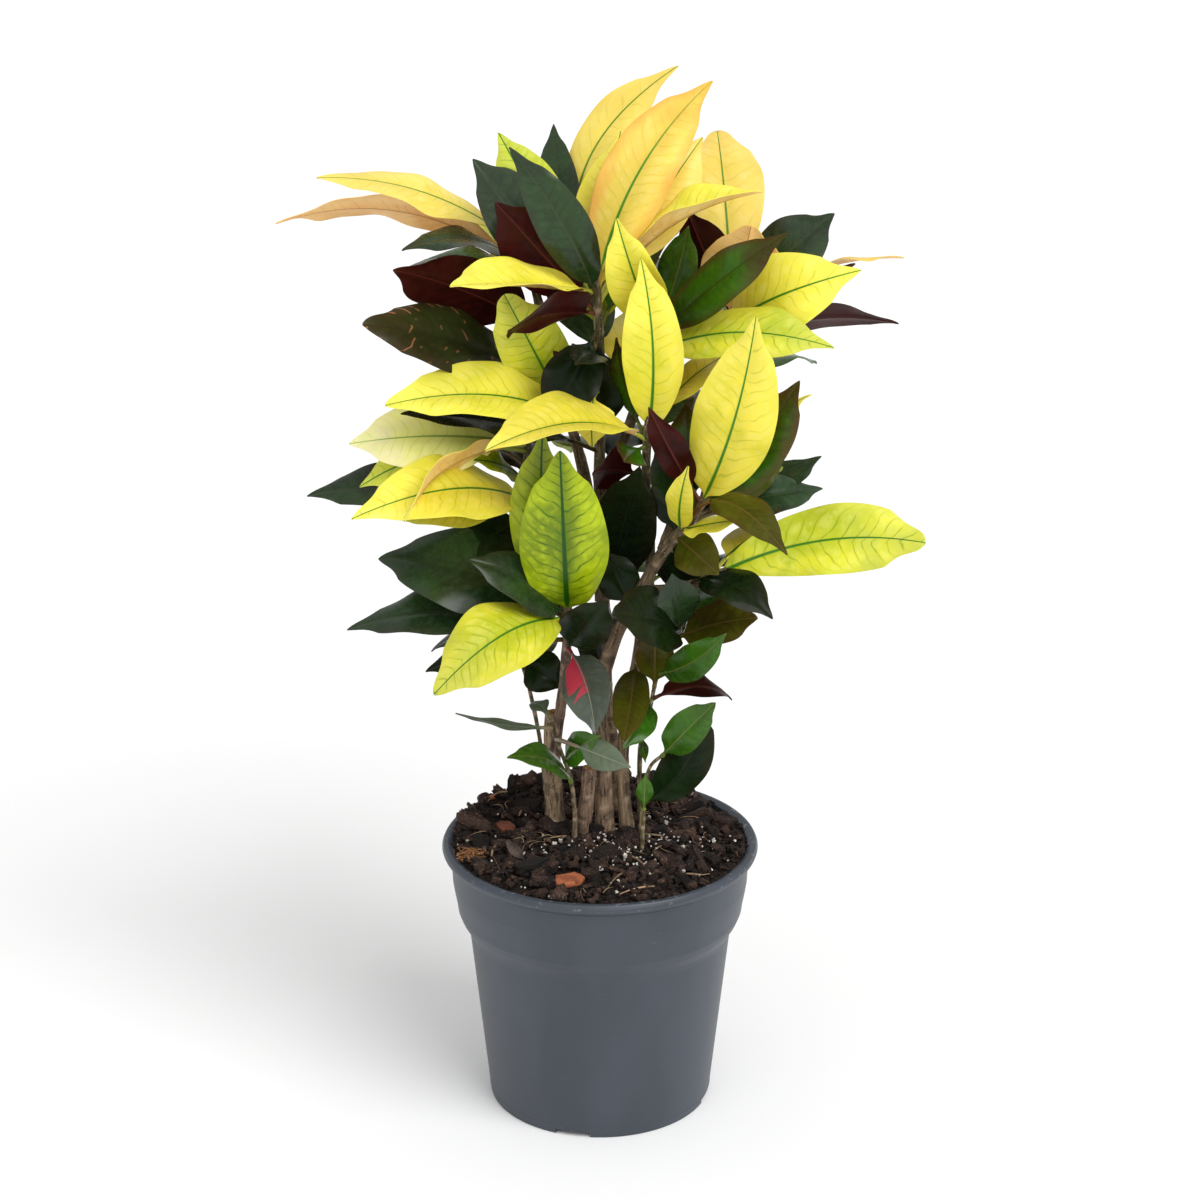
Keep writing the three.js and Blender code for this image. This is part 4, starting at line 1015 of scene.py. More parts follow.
# By stem. Each row: height of the root, tip, width, the way it faces, kind, bow, and what is unusual.
NEAR_LEAVES: dict[str, tuple[NearLeaf, ...]] = {
    "center": (
        NearLeaf(560, (70, 20, 690), 48, (-0.35, -0.9, 0.3), Kind.ORANGE, 8, sway=-11, fold=8, stalk=14),
        NearLeaf(555, (50, 75, 690), 36, (-0.6, -0.75, 0.1), Kind.CREAM, 4, sway=-42, fold=12, stalk=56),
        NearLeaf(555, (-30, 90, 650), 26, (-0.1, -0.9, 0.3), Kind.DARK, 6, sway=-6, stalk=40),
        NearLeaf(550, (-65, 60, 650), 38, (-0.2, -0.8, 0.5), Kind.LEMON, 8, stalk=40),
        NearLeaf(550, (-80, 25, 640), 46, (-0.2, -0.8, 0.5), Kind.DARK, 4, stalk=24),
        NearLeaf(555, (-55, -40, 660), 34, (-0.1, -0.9, 0.35), Kind.DARK, 11, sway=5, fold=14, stalk=12),
        NearLeaf(545, (-65, -10, 620), 48, (-0.2, 0.9, 0.2), Kind.MAROON, -1),
        NearLeaf(560, (-90, -85, 585), 54, (0, -0.3, 1), Kind.YELLOW, 3, fold=28, stalk=12),
        NearLeaf(555, (65, 45, 650), 44, (-0.1, -0.9, 0.3), Kind.CREAM, 9, stalk=24),
        NearLeaf(550, (100, -25, 630), 44, (0.1, -0.15, 1), Kind.YELLOW, 16, fold=38, stalk=30),
        NearLeaf(545, (-55, -75, 555), 54, (0, 0.85, 0.5), Kind.MAROON, 7, stalk=10),
        NearLeaf(455, (-135, -30, 495), 54, (0, -0.5, 0.85), Kind.YELLOW, 23,
                 fold=18, stalk=20, taper=0.8),
        NearLeaf(445, (-125, -30, 490), 40, (0, -0.3, 0.95), Kind.DEEP_PAINTED_SHADE, 7, stalk=24),
        NearLeaf(490, (-5, -5, 460), 30, (-0.1, -0.7, 0.7), Kind.YELLOW, 21),
        NearLeaf(338, (25, -30, 455), 46, (0, -0.9, 0.3), Kind.DEEP_PAINTED_SHADE, -1, stalk=12),
        NearLeaf(535, (-32, -18, 478), 38, (0, -0.85, 0.5), Kind.DEEP_PAINTED_SHADE, 5, stalk=10),
        NearLeaf(530, (0, 20, 462), 36, (0, -0.9, 0.4), Kind.DEEP_PAINTED_SHADE, 4, stalk=8),
        NearLeaf(515, (-15, -60, 530), 26, (0, -0.8, 0.5), Kind.DEEP_PAINTED_SHADE, 4, stalk=8),
        NearLeaf(480, (-30, 10, 520), 22, (0, 0.9, 0.2), Kind.MAROON, 4, stalk=6),
    ),
    "topleft": (
        NearLeaf(572, (-180, 40, 625), 40, (0, -0.3, 0.95), Kind.CREAM, 14, sway=4, fold=5, stalk=24),
        NearLeaf(560, (-205, 20, 600), 40, (0.1, 0.6, 0.8), Kind.ORANGE, 25, stalk=20),
        NearLeaf(545, (-125, 10, 585), 40, (0, -0.2, 0.95), Kind.DARK, 21, stalk=20),
        NearLeaf(520, (-130, 0, 575), 58, (0, 0.9, 0.45), Kind.MAROON, 8),
        NearLeaf(480, (-150, 0, 540), 62, (0, -0.55, 0.85), Kind.FLECKED, 10, stalk=20, taper=0.8),
        NearLeaf(460, (-60, -5, 560), 44, (0, -0.9, 0.3), Kind.LEMON, 5, stalk=8, broad=0.7, taper=0.55),
    ),
    "middle": (
        NearLeaf(530, (10, -35, 615), 38, (-0.2, -0.9, 0.3), Kind.YELLOW, 8, fold=20, stalk=10),
        NearLeaf(530, (55, 10, 600), 28, (-0.3, -0.9, 0.3), Kind.FRESH, -6, stalk=8),
        NearLeaf(515, (145, -40, 535), 48, (0, -0.55, 0.85), Kind.LEMON, 16, stalk=12),
        NearLeaf(525, (115, -30, 605), 33, (-0.2, -0.85, 0.5), Kind.GREEN, 8, stalk=12),
    ),
    "trunk": (
        NearLeaf(425, (95, -60, 560), 54, (-0.1, -0.9, 0.35), Kind.YELLOW, 6, sway=6, stalk=6),
        NearLeaf(425, (125, -25, 510), 42, (-0.2, -0.9, 0.4), Kind.GREEN, 6, sway=6, stalk=8),
        NearLeaf(420, (120, 20, 460), 40, (-0.2, -0.9, 0.4), Kind.GREEN, 4, stalk=10),
        NearLeaf(415, (145, 40, 441), 32, (0, -0.4, 0.9), Kind.DARK, -2, stalk=20),
        NearLeaf(410, (145, 20, 425), 32, (0, -0.6, 0.8), Kind.DARK, 8, stalk=20),
        NearLeaf(410, (115, -100, 420), 30, (0.2, -0.6, 0.7), Kind.OLIVE, 26, stalk=38),
        NearLeaf(405, (55, -45, 460), 20, (-0.3, -0.9, 0.3), Kind.YELLOW, 7, stalk=4),
        NearLeaf(405, (90, -75, 435), 26, (0, -0.6, 0.8), Kind.YELLOW, 1, stalk=4),
        NearLeaf(400, (75, -50, 390), 30, (0, -0.9, 0.3), Kind.OLIVE, 6, stalk=6, broad=0.7, taper=0.8),
        NearLeaf(420, (55, 10, 485), 34, (-0.3, -0.9, 0.3), Kind.GREEN, 4, stalk=10),
        NearLeaf(415, (35, -20, 465), 30, (0, -0.9, 0.3), Kind.DEEP_PAINTED_SHADE, 4, stalk=8),
        NearLeaf(425, (30, -50, 500), 24, (0.1, 0.8, 0.4), Kind.MAROON, -1),
        NearLeaf(410, (50, 24, 350), 34, (0, -0.9, 0.35), Kind.DEEP_PAINTED_SHADE, 4, stalk=6),
        NearLeaf(400, (42, -2, 450), 26, (0, -0.9, 0.3), Kind.DEEP_PAINTED_SHADE, 2, stalk=4, broad=0.7, taper=0.7),
        NearLeaf(348, (4, 2, 386), 28, (0, -0.9, 0.3), Kind.DEEP_PAINTED_SHADE, 2, stalk=3, broad=0.6, taper=0.6),
    ),
    "lowright": (
        NearLeaf(372, (205, -50, 411), 46, (0, -0.9, 0.45), Kind.LEMON, -4,
                 sway=-13, fold=8, stalk=8, taper=0.6),
        NearLeaf(365, (110, -50, 360), 36, (0, -0.4, 0.9), Kind.DEEP_PAINTED_SHADE, 16, stalk=12),
    ),
    "topright": (
        NearLeaf(540, (77, 120, 640), 53, (0, -0.9, 0.3), Kind.CREAM, 24, stalk=12, taper=0.7),
        NearLeaf(520, (95, 15, 600), 52, (0, 0.9, 0.2), Kind.ORANGE, -1, stalk=20, broad=0.7, taper=0.7),
        NearLeaf(535, (55, 40, 605), 34, (0, 0.9, 0.2), Kind.DEEP_PAINTED_SHADE, -1, stalk=14),
        NearLeaf(520, (163, -10, 577), 56, (0, -0.85, 0.5), Kind.YELLOW, 22, stalk=12),
        NearLeaf(535, (150, 50, 600), 46, (0, -0.7, 0.7), Kind.DARK, 6),
        NearLeaf(530, (165, 60, 565), 36, (0, 0.75, 0.65), Kind.MAROON, -4, stalk=20),
        NearLeaf(530, (200, 90, 562), 36, (0, 0.3, 1), Kind.ORANGE, 12, stalk=20),
        NearLeaf(510, (195, 60, 525), 36, (0, 0.6, 0.75), Kind.MAROON, 12, stalk=20),
    ),
    "front": (
        NearLeaf(465, (-70, -95, 485), 54, (0, -0.35, 0.95), Kind.YELLOW, 16, fold=26, stalk=12),
        NearLeaf(465, (25, -35, 590), 40, (-0.1, -0.9, 0.35), Kind.YELLOW, 3, sway=6, fold=12, stalk=8),
        NearLeaf(465, (10, 5, 530), 26, (-0.9, -0.5, 0.1), Kind.GREEN, 4, stalk=14),
        NearLeaf(460, (60, 35, 535), 26, (-0.8, 0.4, 0.1), Kind.MAROON, 6, stalk=20),
        NearLeaf(460, (15, -20, 455), 28, (0, -0.7, 0.7), Kind.GREEN, 3, stalk=8),
        NearLeaf(435, (-5, -10, 445), 40, (0, 0.9, 0.3), Kind.MAROON, 6, stalk=8),
        NearLeaf(300, (15, -50, 275), 25, (0, -0.95, 0.2), Kind.OLIVE, 4, stalk=6, broad=0.7, taper=0.8),
    ),
    "leftup": (
        NearLeaf(350, (-36, -20, 476), 46, (-0.15, -0.9, 0.35), Kind.LIME, 6, sway=-6, stalk=6),
        NearLeaf(350, (-25, -45, 470), 58, (0, -0.9, 0.35), Kind.LIME, 8, stalk=4, broad=0.65, taper=0.8),
        NearLeaf(345, (-105, -80, 320), 54, (0, -0.65, 0.8), Kind.LEMON, 26, fold=8, stalk=8, taper=0.8),
        NearLeaf(330, (-115, 0, 305), 30, (0, -0.4, 0.9), Kind.DEEP_PAINTED_SHADE, 8, stalk=30),
        NearLeaf(345, (-145, 10, 380), 64, (0, -0.65, 0.8), Kind.DARK, 23, stalk=20),
        NearLeaf(345, (-84, -38, 396), 42, (0, -0.55, 0.85), Kind.DARK, 10, stalk=8),
        NearLeaf(340, (-165, -10, 338), 42, (0, -0.45, 0.9), Kind.DARK, 17, stalk=24),
        NearLeaf(324, (4, -50, 372), 34, (0.1, -0.9, 0.3), Kind.DEEP_PAINTED_SHADE, 4, stalk=6, broad=0.7, taper=0.8),
        NearLeaf(325, (-3, -60, 285), 34, (-0.1, -0.9, 0.3), Kind.PINK, 6, sway=-5, fold=16, stalk=10),
        NearLeaf(330, (12, 42, 322), 38, (0.6, -0.7, 0.1), Kind.DEEP_PAINTED_SHADE, 2, stalk=4, broad=0.65, taper=0.65),
    ),
    "midleft": (
        NearLeaf(415, (-190, 10, 423), 42, (0, -0.5, 0.85), Kind.DARK, 14, stalk=30),
        NearLeaf(415, (-154, -75, 435), 56, (0, -0.6, 0.8), Kind.YELLOW, 20, fold=12, stalk=10),
        NearLeaf(415, (-135, -10, 414), 40, (0, -0.4, 0.9), Kind.LEMON, 4),
        NearLeaf(455, (-120, -95, 440), 30, (-0.3, 0.8, 0.5), Kind.YELLOW, 16),
        NearLeaf(455, (-160, -10, 464), 54, (0, -0.75, 0.65), Kind.PALE, 12, stalk=20),
        NearLeaf(450, (-155, 0, 432), 32, (0, -0.6, 0.75), Kind.LEMON, 20, stalk=40),
        NearLeaf(425, (-80, -15, 455), 24, (0, -0.5, 0.8), Kind.LIME, 6, stalk=12),
        NearLeaf(405, (-94, -5, 382), 42, (0, -0.6, 0.8), Kind.DEEP_PAINTED_SHADE, 8, stalk=8),
    ),
    "shootL": (
        NearLeaf(270, (-95, -10, 280), 12, (0, -0.1, 1), Kind.GREY, -3, twist=40, stalk=8),
        NearLeaf(230, (-60, -50, 265), 28, (0, -0.5, 0.9), Kind.FRESH, 10, stalk=6),
        NearLeaf(245, (0, -50, 280), 22, (0, -0.8, 0.6), Kind.FRESH, 6, stalk=6),
        NearLeaf(262, (20, -60, 262), 20, (0, -0.9, 0.4), Kind.GREY, 12, stalk=46),
        NearLeaf(274, (-45, 10, 280), 14, (0, -0.3, 0.9), Kind.GREY, 4, stalk=6),
    ),
    "thinL": (
        NearLeaf(307, (-24, 12, 289), 30, (0, -0.9, 0.3), Kind.DEEP_PAINTED_SHADE, 5, stalk=4),
    ),
    "shootR": (
        NearLeaf(333, (8, -62, 368), 44, (0, -0.75, 0.55), Kind.DEEP_PAINTED_SHADE, 8, stalk=4, broad=0.65, taper=0.65),
        NearLeaf(333, (46, -32, 384), 32, (0.1, -0.9, 0.4), Kind.DARK, 3, stalk=6),
        NearLeaf(325, (102, -20, 350), 38, (0, -0.6, 0.8), Kind.OLIVE, 6, stalk=8, taper=0.8),
        NearLeaf(300, (80, -50, 350), 24, (0, -0.9, 0.4), Kind.FRESH, 3, sway=5, stalk=6),
        NearLeaf(280, (85, -50, 305), 26, (0, 0.95, 0.3), Kind.MAROON, 12, stalk=6),
        NearLeaf(280, (15, -30, 262), 24, (0, -0.9, 0.4), Kind.FRESH, 6, stalk=6),
        NearLeaf(250, (30, -10, 245), 7, (0, -0.9, 0.4), Kind.FRESH, 2, stalk=4),
        NearLeaf(290, (36, -5, 342), 26, (0, -0.9, 0.3), Kind.OLIVE, 3, stalk=4),
    ),
    "lowR": (
        NearLeaf(250, (75, -30, 295), 26, (-0.1, -0.9, 0.4), Kind.FRESH, 6, stalk=4, broad=0.7, taper=0.8),
        NearLeaf(212, (68, -12, 284), 32, (0.2, -0.9, 0.3), Kind.DEEP_PAINTED_SHADE, 4,
                 sway=9, stalk=6, broad=0.7, taper=0.8),
    ),
    "tiny": (
        NearLeaf(215, (30, -20, 240), 12, (0, -0.9, 0.4), Kind.FRESH, 2, stalk=2),
    ),
}

# By stem. Each row: height of the root, azimuth, rise, reach, width, bow and kind.
FAR_LEAVES: dict[str, tuple[FarLeaf, ...]] = {
    name: tuple(FarLeaf(*row) for row in rows) for name, rows in {
        "center": (
            (545, 75, 62, 120, 42, 10, Kind.YELLOW), (540, 115, 42, 130, 46, 12, Kind.ORANGE),
            (530, 40, 45, 105, 42, 10, Kind.GREEN), (520, 95, 30, 125, 48, 12, Kind.LIME),
            (505, 105, 25, 105, 44, 10, Kind.DARK), (495, 60, 12, 115, 48, 14, Kind.YELLOW),
            (450, 105, 5, 125, 52, 14, Kind.MAROON), (430, 70, 0, 110, 46, 12, Kind.DEEP_PAINTED_SHADE),
            (390, 120, -5, 105, 46, 14, Kind.FRESH), (370, 85, -10, 115, 50, 16, Kind.LEMON),
            (345, 50, -5, 95, 42, 12, Kind.GREEN)),
        "topleft": (
            (572, 75, 20, 95, 42, 10, Kind.YELLOW), (562, 115, 5, 105, 44, 12, Kind.LEMON),
            (555, 160, -2, 95, 44, 12, Kind.GREEN), (540, 100, 8, 115, 48, 14, Kind.ORANGE),
            (520, 140, 0, 110, 48, 14, Kind.MAROON), (490, 115, -8, 110, 46, 14, Kind.DARK),
            (455, 155, -8, 100, 44, 14, Kind.FRESH), (430, 95, -12, 95, 44, 14, Kind.LIME)),
        "trunk": (
            (430, 20, 40, 95, 42, 10, Kind.YELLOW), (425, 75, 15, 90, 40, 12, Kind.GREEN),
            (415, 40, 12, 85, 38, 12, Kind.LIME), (400, 45, 0, 100, 44, 14, Kind.MAROON),
            (360, 40, -5, 95, 42, 14, Kind.FRESH)),
        "lowright": (
            (374, 50, 5, 90, 38, 12, Kind.YELLOW), (368, 45, -8, 70, 32, 12, Kind.GREEN)),
        "topright": (
            (540, 95, 45, 90, 40, 10, Kind.LEMON), (535, 70, 20, 95, 44, 12, Kind.YELLOW),
            (520, 120, 18, 100, 44, 12, Kind.DARK), (505, 85, 5, 110, 48, 14, Kind.ORANGE),
            (480, 45, 0, 105, 44, 14, Kind.FRESH), (455, 105, -5, 105, 46, 14, Kind.MAROON),
            (430, 65, -8, 100, 44, 14, Kind.GREEN)),
        "front": (
            (470, 30, 35, 80, 36, 8, Kind.YELLOW), (455, 70, 20, 80, 36, 8, Kind.GREEN)),
        "leftup": (
            (352, 100, 15, 90, 42, 12, Kind.DEEP_PAINTED_SHADE), (345, 155, 10, 100, 46, 14, Kind.LIME),
            (335, 180, -8, 90, 40, 14, Kind.DARK), (325, 95, -12, 80, 38, 12, Kind.MAROON)),
        "midleft": (
            (455, 115, 35, 90, 42, 10, Kind.LEMON), (450, 130, 18, 100, 44, 12, Kind.YELLOW),
            (440, 165, 8, 95, 42, 12, Kind.DARK), (425, 105, -2, 95, 44, 14, Kind.MAROON)),
        "thinL": (
            (345, 100, 30, 75, 30, 8, Kind.FRESH), (320, 150, 10, 70, 28, 8, Kind.GREEN),
            (290, 80, 0, 70, 28, 10, Kind.GREY)),
        "shootR": (
            (320, 60, 20, 75, 32, 8, Kind.FRESH), (300, 85, 15, 80, 34, 10, Kind.DEEP_PAINTED_SHADE)),
    }.items()
}


# ---- Leaves and stems ----


def smoothstep(share: Array) -> Array:
    """Eases from 0 to 1 as its argument does, and stays there outside."""
    share = np.clip(share, 0, 1)
    return share * share * (3 - 2 * share)


@dataclass(frozen=True)
class LeafForm:
    """How every leaf is shaped: a round stalk, and a folded, cupped and waved blade.

    Attributes:
        columns: Lines along one half of the blade, as shares of the half's width.
        row_step: Distance between two rows of points along the blade.
        fewest_rows: Rows of the shortest blade.
        most_rows: Rows of the longest blade.
        stalk_rows: Rows along the bare stalk.
        stalk_radii: The stalk's radius at the stem and at the blade.
        join: Length over which the stalk flattens into the blade.
        thickness: Thickness of the blade.
        arch: How much longer the arched midrib is than the straight way.
        end: Share of the midrib at which the blade ends.
        longest_stalk: Greatest share of the midrib that is bare stalk.
        crowding: How far the rows of points crowd towards both ends.
        neck: Least half width towards the stalk.
        point: Least half width towards the tip.
        drip: Share at which the drip tip starts, how much of the blade it takes, and how much it
            is drawn in.
        cup: How far each half curls down, as a share of its width.
        wave: Height of the slow waves along the margin.
        waves: How many slow waves there are from stalk to tip.
        ruffle: Height of the short waves along the margin.
        quilt: Height of the flesh raised between two side veins.
        billow: Height of the soft swellings of each half of the blade.
        steady: Half width from which the waves have their full height.
        groove: Depth and half width of the groove over the midrib.
        ridge: Height and half width of the midrib under the blade, at the stalk.
        thinning: Share of the thickness that is gone at the margin.
        lean: How far a side vein runs towards the tip, for each millimetre away from the midrib.
        loop: How far it turns towards the tip where it nears the margin.
    """

    columns: tuple[float, ...] = (0.0, 0.14, 0.3, 0.5, 0.7, 0.87, 0.985, 1.0)
    row_step: float = 2.4
    fewest_rows: int = 16
    most_rows: int = 64
    stalk_rows: int = 5
    stalk_radii: Pair = (1.7, 1.2)
    join: float = 10.0
    thickness: float = 0.55
    arch: float = 1.03
    end: float = 0.9955
    longest_stalk: float = 0.45
    crowding: float = 0.05
    neck: float = 1.1
    point: float = 0.35
    drip: Triple = (0.82, 0.18, 0.25)
    cup: float = 0.15
    wave: float = 1.5
    waves: int = 2
    ruffle: float = 0.6
    quilt: float = 0.1
    billow: float = 0.9
    steady: float = 12.0
    groove: Pair = (0.5, 1.1)
    ridge: Pair = (1.0, 1.3)
    thinning: float = 0.45
    lean: float = 0.62
    loop: float = 6.0

    def half_width(self, leaf: Leaf, share: Array) -> Array:
        """Half of the blade's width, drawn in to a drip tip.

        Args:
            leaf: The leaf.
            share: Shares of the way from the stalk to the tip.

        Returns:
            One half width for each share.
        """
        widest = leaf.broad / (leaf.broad + leaf.taper)
        peak = widest**leaf.broad * (1 - widest) ** leaf.taper
        share = np.clip(share, 0, 1)
        outline = share**leaf.broad * (1 - share) ** leaf.taper / peak
        start, extent, depth = self.drip
        drawn_in = 1 - depth * np.sin(np.pi * np.clip((share - start) / extent, 0, 1))
        least = np.where(share < 0.5, self.neck, self.point)
        return np.maximum(leaf.width / 2 * outline * drawn_in, least)

    def add(self, form: Form, leaf: Leaf, draw: random.Random, cell: tuple[float, ...]) -> None:
        """Adds one leaf to a piece.

        Args:
            form: The piece.
            leaf: The leaf.
            draw: Where its own tone, ruffle and vein spacing come from.
            cell: Its place on the piece's flat map: lowest x and y, and the width and height.
        """
        seed, tone, spread = (draw.random() for _ in range(3))
        spacing = VEIN_SPACING * (0.85 + 0.35 * spread) * min(1.0, 0.55 + leaf.width / 90)

        # The midrib is one arch from the stem to the tip.
        chord = leaf.tip - leaf.root
        length = float(np.linalg.norm(chord))
        along = chord / length
        up = unit(leaf.face - along * (leaf.face @ along))
        middle = leaf.root + chord / 2 + up * 2 * leaf.bow + np.cross(along, up) * 2 * leaf.sway
        arch = self.arch * length
        start = min(self.longest_stalk, leaf.stalk / arch)
        rows = int(np.clip(round(length * (1 - start) / self.row_step), self.fewest_rows, self.most_rows))
        even = np.linspace(0, self.end, rows)
        blade = even - self.crowding * np.sin(2 * np.pi * even)
        share = np.concatenate([np.linspace(-1, 0, self.stalk_rows, endpoint=False), blade])
        t = start * (1 + np.minimum(share, 0)) + (1 - start) * np.maximum(share, 0)
        t = t[:, None]
        middle_line = (1 - t) ** 2 * leaf.root + 2 * t * (1 - t) * middle + t**2 * leaf.tip
        ahead = unit((1 - t) * (middle - leaf.root) + t * (leaf.tip - middle))
        flat = unit(leaf.face - ahead * (ahead @ leaf.face)[:, None])
        side = np.cross(ahead, flat)
        turn = np.radians(leaf.twist) * (np.maximum(share, 0) - 0.5)[:, None]
        normal = flat * np.cos(turn) + side * np.sin(turn)
        side = side * np.cos(turn) - flat * np.sin(turn)

        # Where each point of the blade lies, in millimetres along and across it.
        outer = np.array(self.columns[:0:-1])
        u = np.concatenate([-outer, np.array(self.columns)])[None, :]
        half = self.half_width(leaf, share)[:, None]
        at = (t - start) * arch + np.zeros_like(u)
        off = np.abs(u) * half
        # Side veins alternate left and right, and their spacing drifts along the blade.
        alternate = 0.2 * np.tanh(u * half / 3)
        drift = 0.3 * np.sin(at / 16 + 7 * seed + 2 * (u > 0)) + 0.2 * np.sin(at / 7 + 5 * seed)
        phase = (at - off * self.lean - self.loop * np.abs(u) ** 7 * half / 20) / spacing
        phase += alternate + drift
        fade = np.clip(half / 8, 0, 1) * (1 - np.abs(u) ** 6)

        tilt = math.radians(leaf.fold)
        # The waves of the blade: each has its own length, and the seed moves them along the leaf.
        small = np.minimum(1, half / self.steady)
        right = u > 0
        slow = self.wave * u**2 * np.sin(2 * np.pi * self.waves * share[:, None] + 1.2 * right)
        quick = self.ruffle * np.abs(u) ** 3 * np.sin(at / 5.1 + 6 * seed + 2 * right)
        billow = self.billow * np.sin(at / 11 + 9 * seed + 1.7 * u) * np.abs(u)
        raised = self.quilt * np.sin(np.pi * phase) ** 2 * fade
        deep, wide = self.groove
        sunk = deep * np.exp(-((off / wide) ** 2)) * (1 - 0.6 * np.clip(share, 0, 1))[:, None]
        lift = (off * math.sin(tilt) - self.cup * half * u**2 + (slow + quick + billow) * small
                + raised - sunk)
        upper = (middle_line[:, None] + side[:, None] * (u * half * math.cos(tilt))[..., None]
                 + normal[:, None] * lift[..., None])
        out = unit(np.cross(np.gradient(upper, axis=1), np.gradient(upper, axis=0)))
        tall, wide = self.ridge
        rib = tall * np.exp(-((off / wide) ** 2)) * (1 - 0.75 * np.clip(share, 0, 1))[:, None]
        thick = self.thickness * (1 - self.thinning * np.abs(u) ** 8) + rib
        under = upper - out * thick[..., None]
        sheet = np.concatenate([upper, under[:, ::-1]], axis=1)

        # The stalk is round, and its ring of points flattens into the blade's.
        columns = u.shape[1]
        sliver = math.radians(6)  # the ring's first and last points lie this far above its sides
        top = np.linspace(math.pi - sliver, sliver, columns)
        angle = np.concatenate([top, -top[::-1]])[None, :, None]
        radius = np.interp(share, [-1, 0], self.stalk_radii)[:, None, None]
        round_ring = middle_line[:, None] + radius * (
            np.cos(angle) * side[:, None] + np.sin(angle) * normal[:, None])
        flattened = smoothstep(at[:, :1] / self.join)[..., None]
        flattened[: self.stalk_rows] = 0
        points = round_ring + (sheet - round_ring) * flattened

        rings, sides = points.shape[:2]
        faces = closed_faces(rings, sides)
        walls = (rings - 1) * sides
        number = np.arange(len(faces))
        below = (number % sides >= columns) & (number % sides < sides - 1) & (number < walls)

        def around(values: Array) -> Array:
            """Repeats the upper side's values on the under side."""
            values = np.broadcast_to(values, upper.shape[:2])
            return np.concatenate([values, values[:, ::-1]], axis=1).ravel()

        is_blade = share[:, None] >= 0
        # The third number moves each leaf to another part of the noises.
        place = np.stack([around(at), around(u * half), around(np.full_like(at, 900 * seed))], -1)
        layout = self.unwrap(rings, sides, (len(faces) - walls) // 2, cell)
        form.add(points, faces, below.astype(int), layout, place=place,
                 share=around(share[:, None]), edge=around(np.abs(u) * is_blade),
                 off_rib=around(off * is_blade), phase=around(phase), tone=tone,
                 is_right=around(np.clip(0.5 + 4 * u, 0, 1)))

    def unwrap(self, rings: int, sides: int, caps: int, cell: tuple[float, ...]) -> Array:
        """Lays a leaf out flat, cut open along its left edge.

        Args:
            rings: How many rings of points it has.
            sides: How many points each has.
            caps: How many faces close each end.
            cell: Its place on the flat map.

        Returns:
            The place of each corner of each face.
        """
        ring, side = np.meshgrid(np.arange(rings - 1), np.arange(sides), indexing="ij")
        corners = np.stack([
            np.stack([(side + right) / sides, (ring + far) / (rings - 1)], -1)
            for right, far in ((0, 0), (1, 0), (1, 1), (0, 1))], axis=2).reshape(-1, 2)
        near_cap = np.tile([0.5, 0.002], (4 * caps, 1))
        far_cap = np.tile([0.5, 0.998], (4 * caps, 1))
        low, size = np.array(cell[:2]), np.array(cell[2:])
        return low + size * (0.02 + 0.96 * np.concatenate([corners, near_cap, far_cap]))


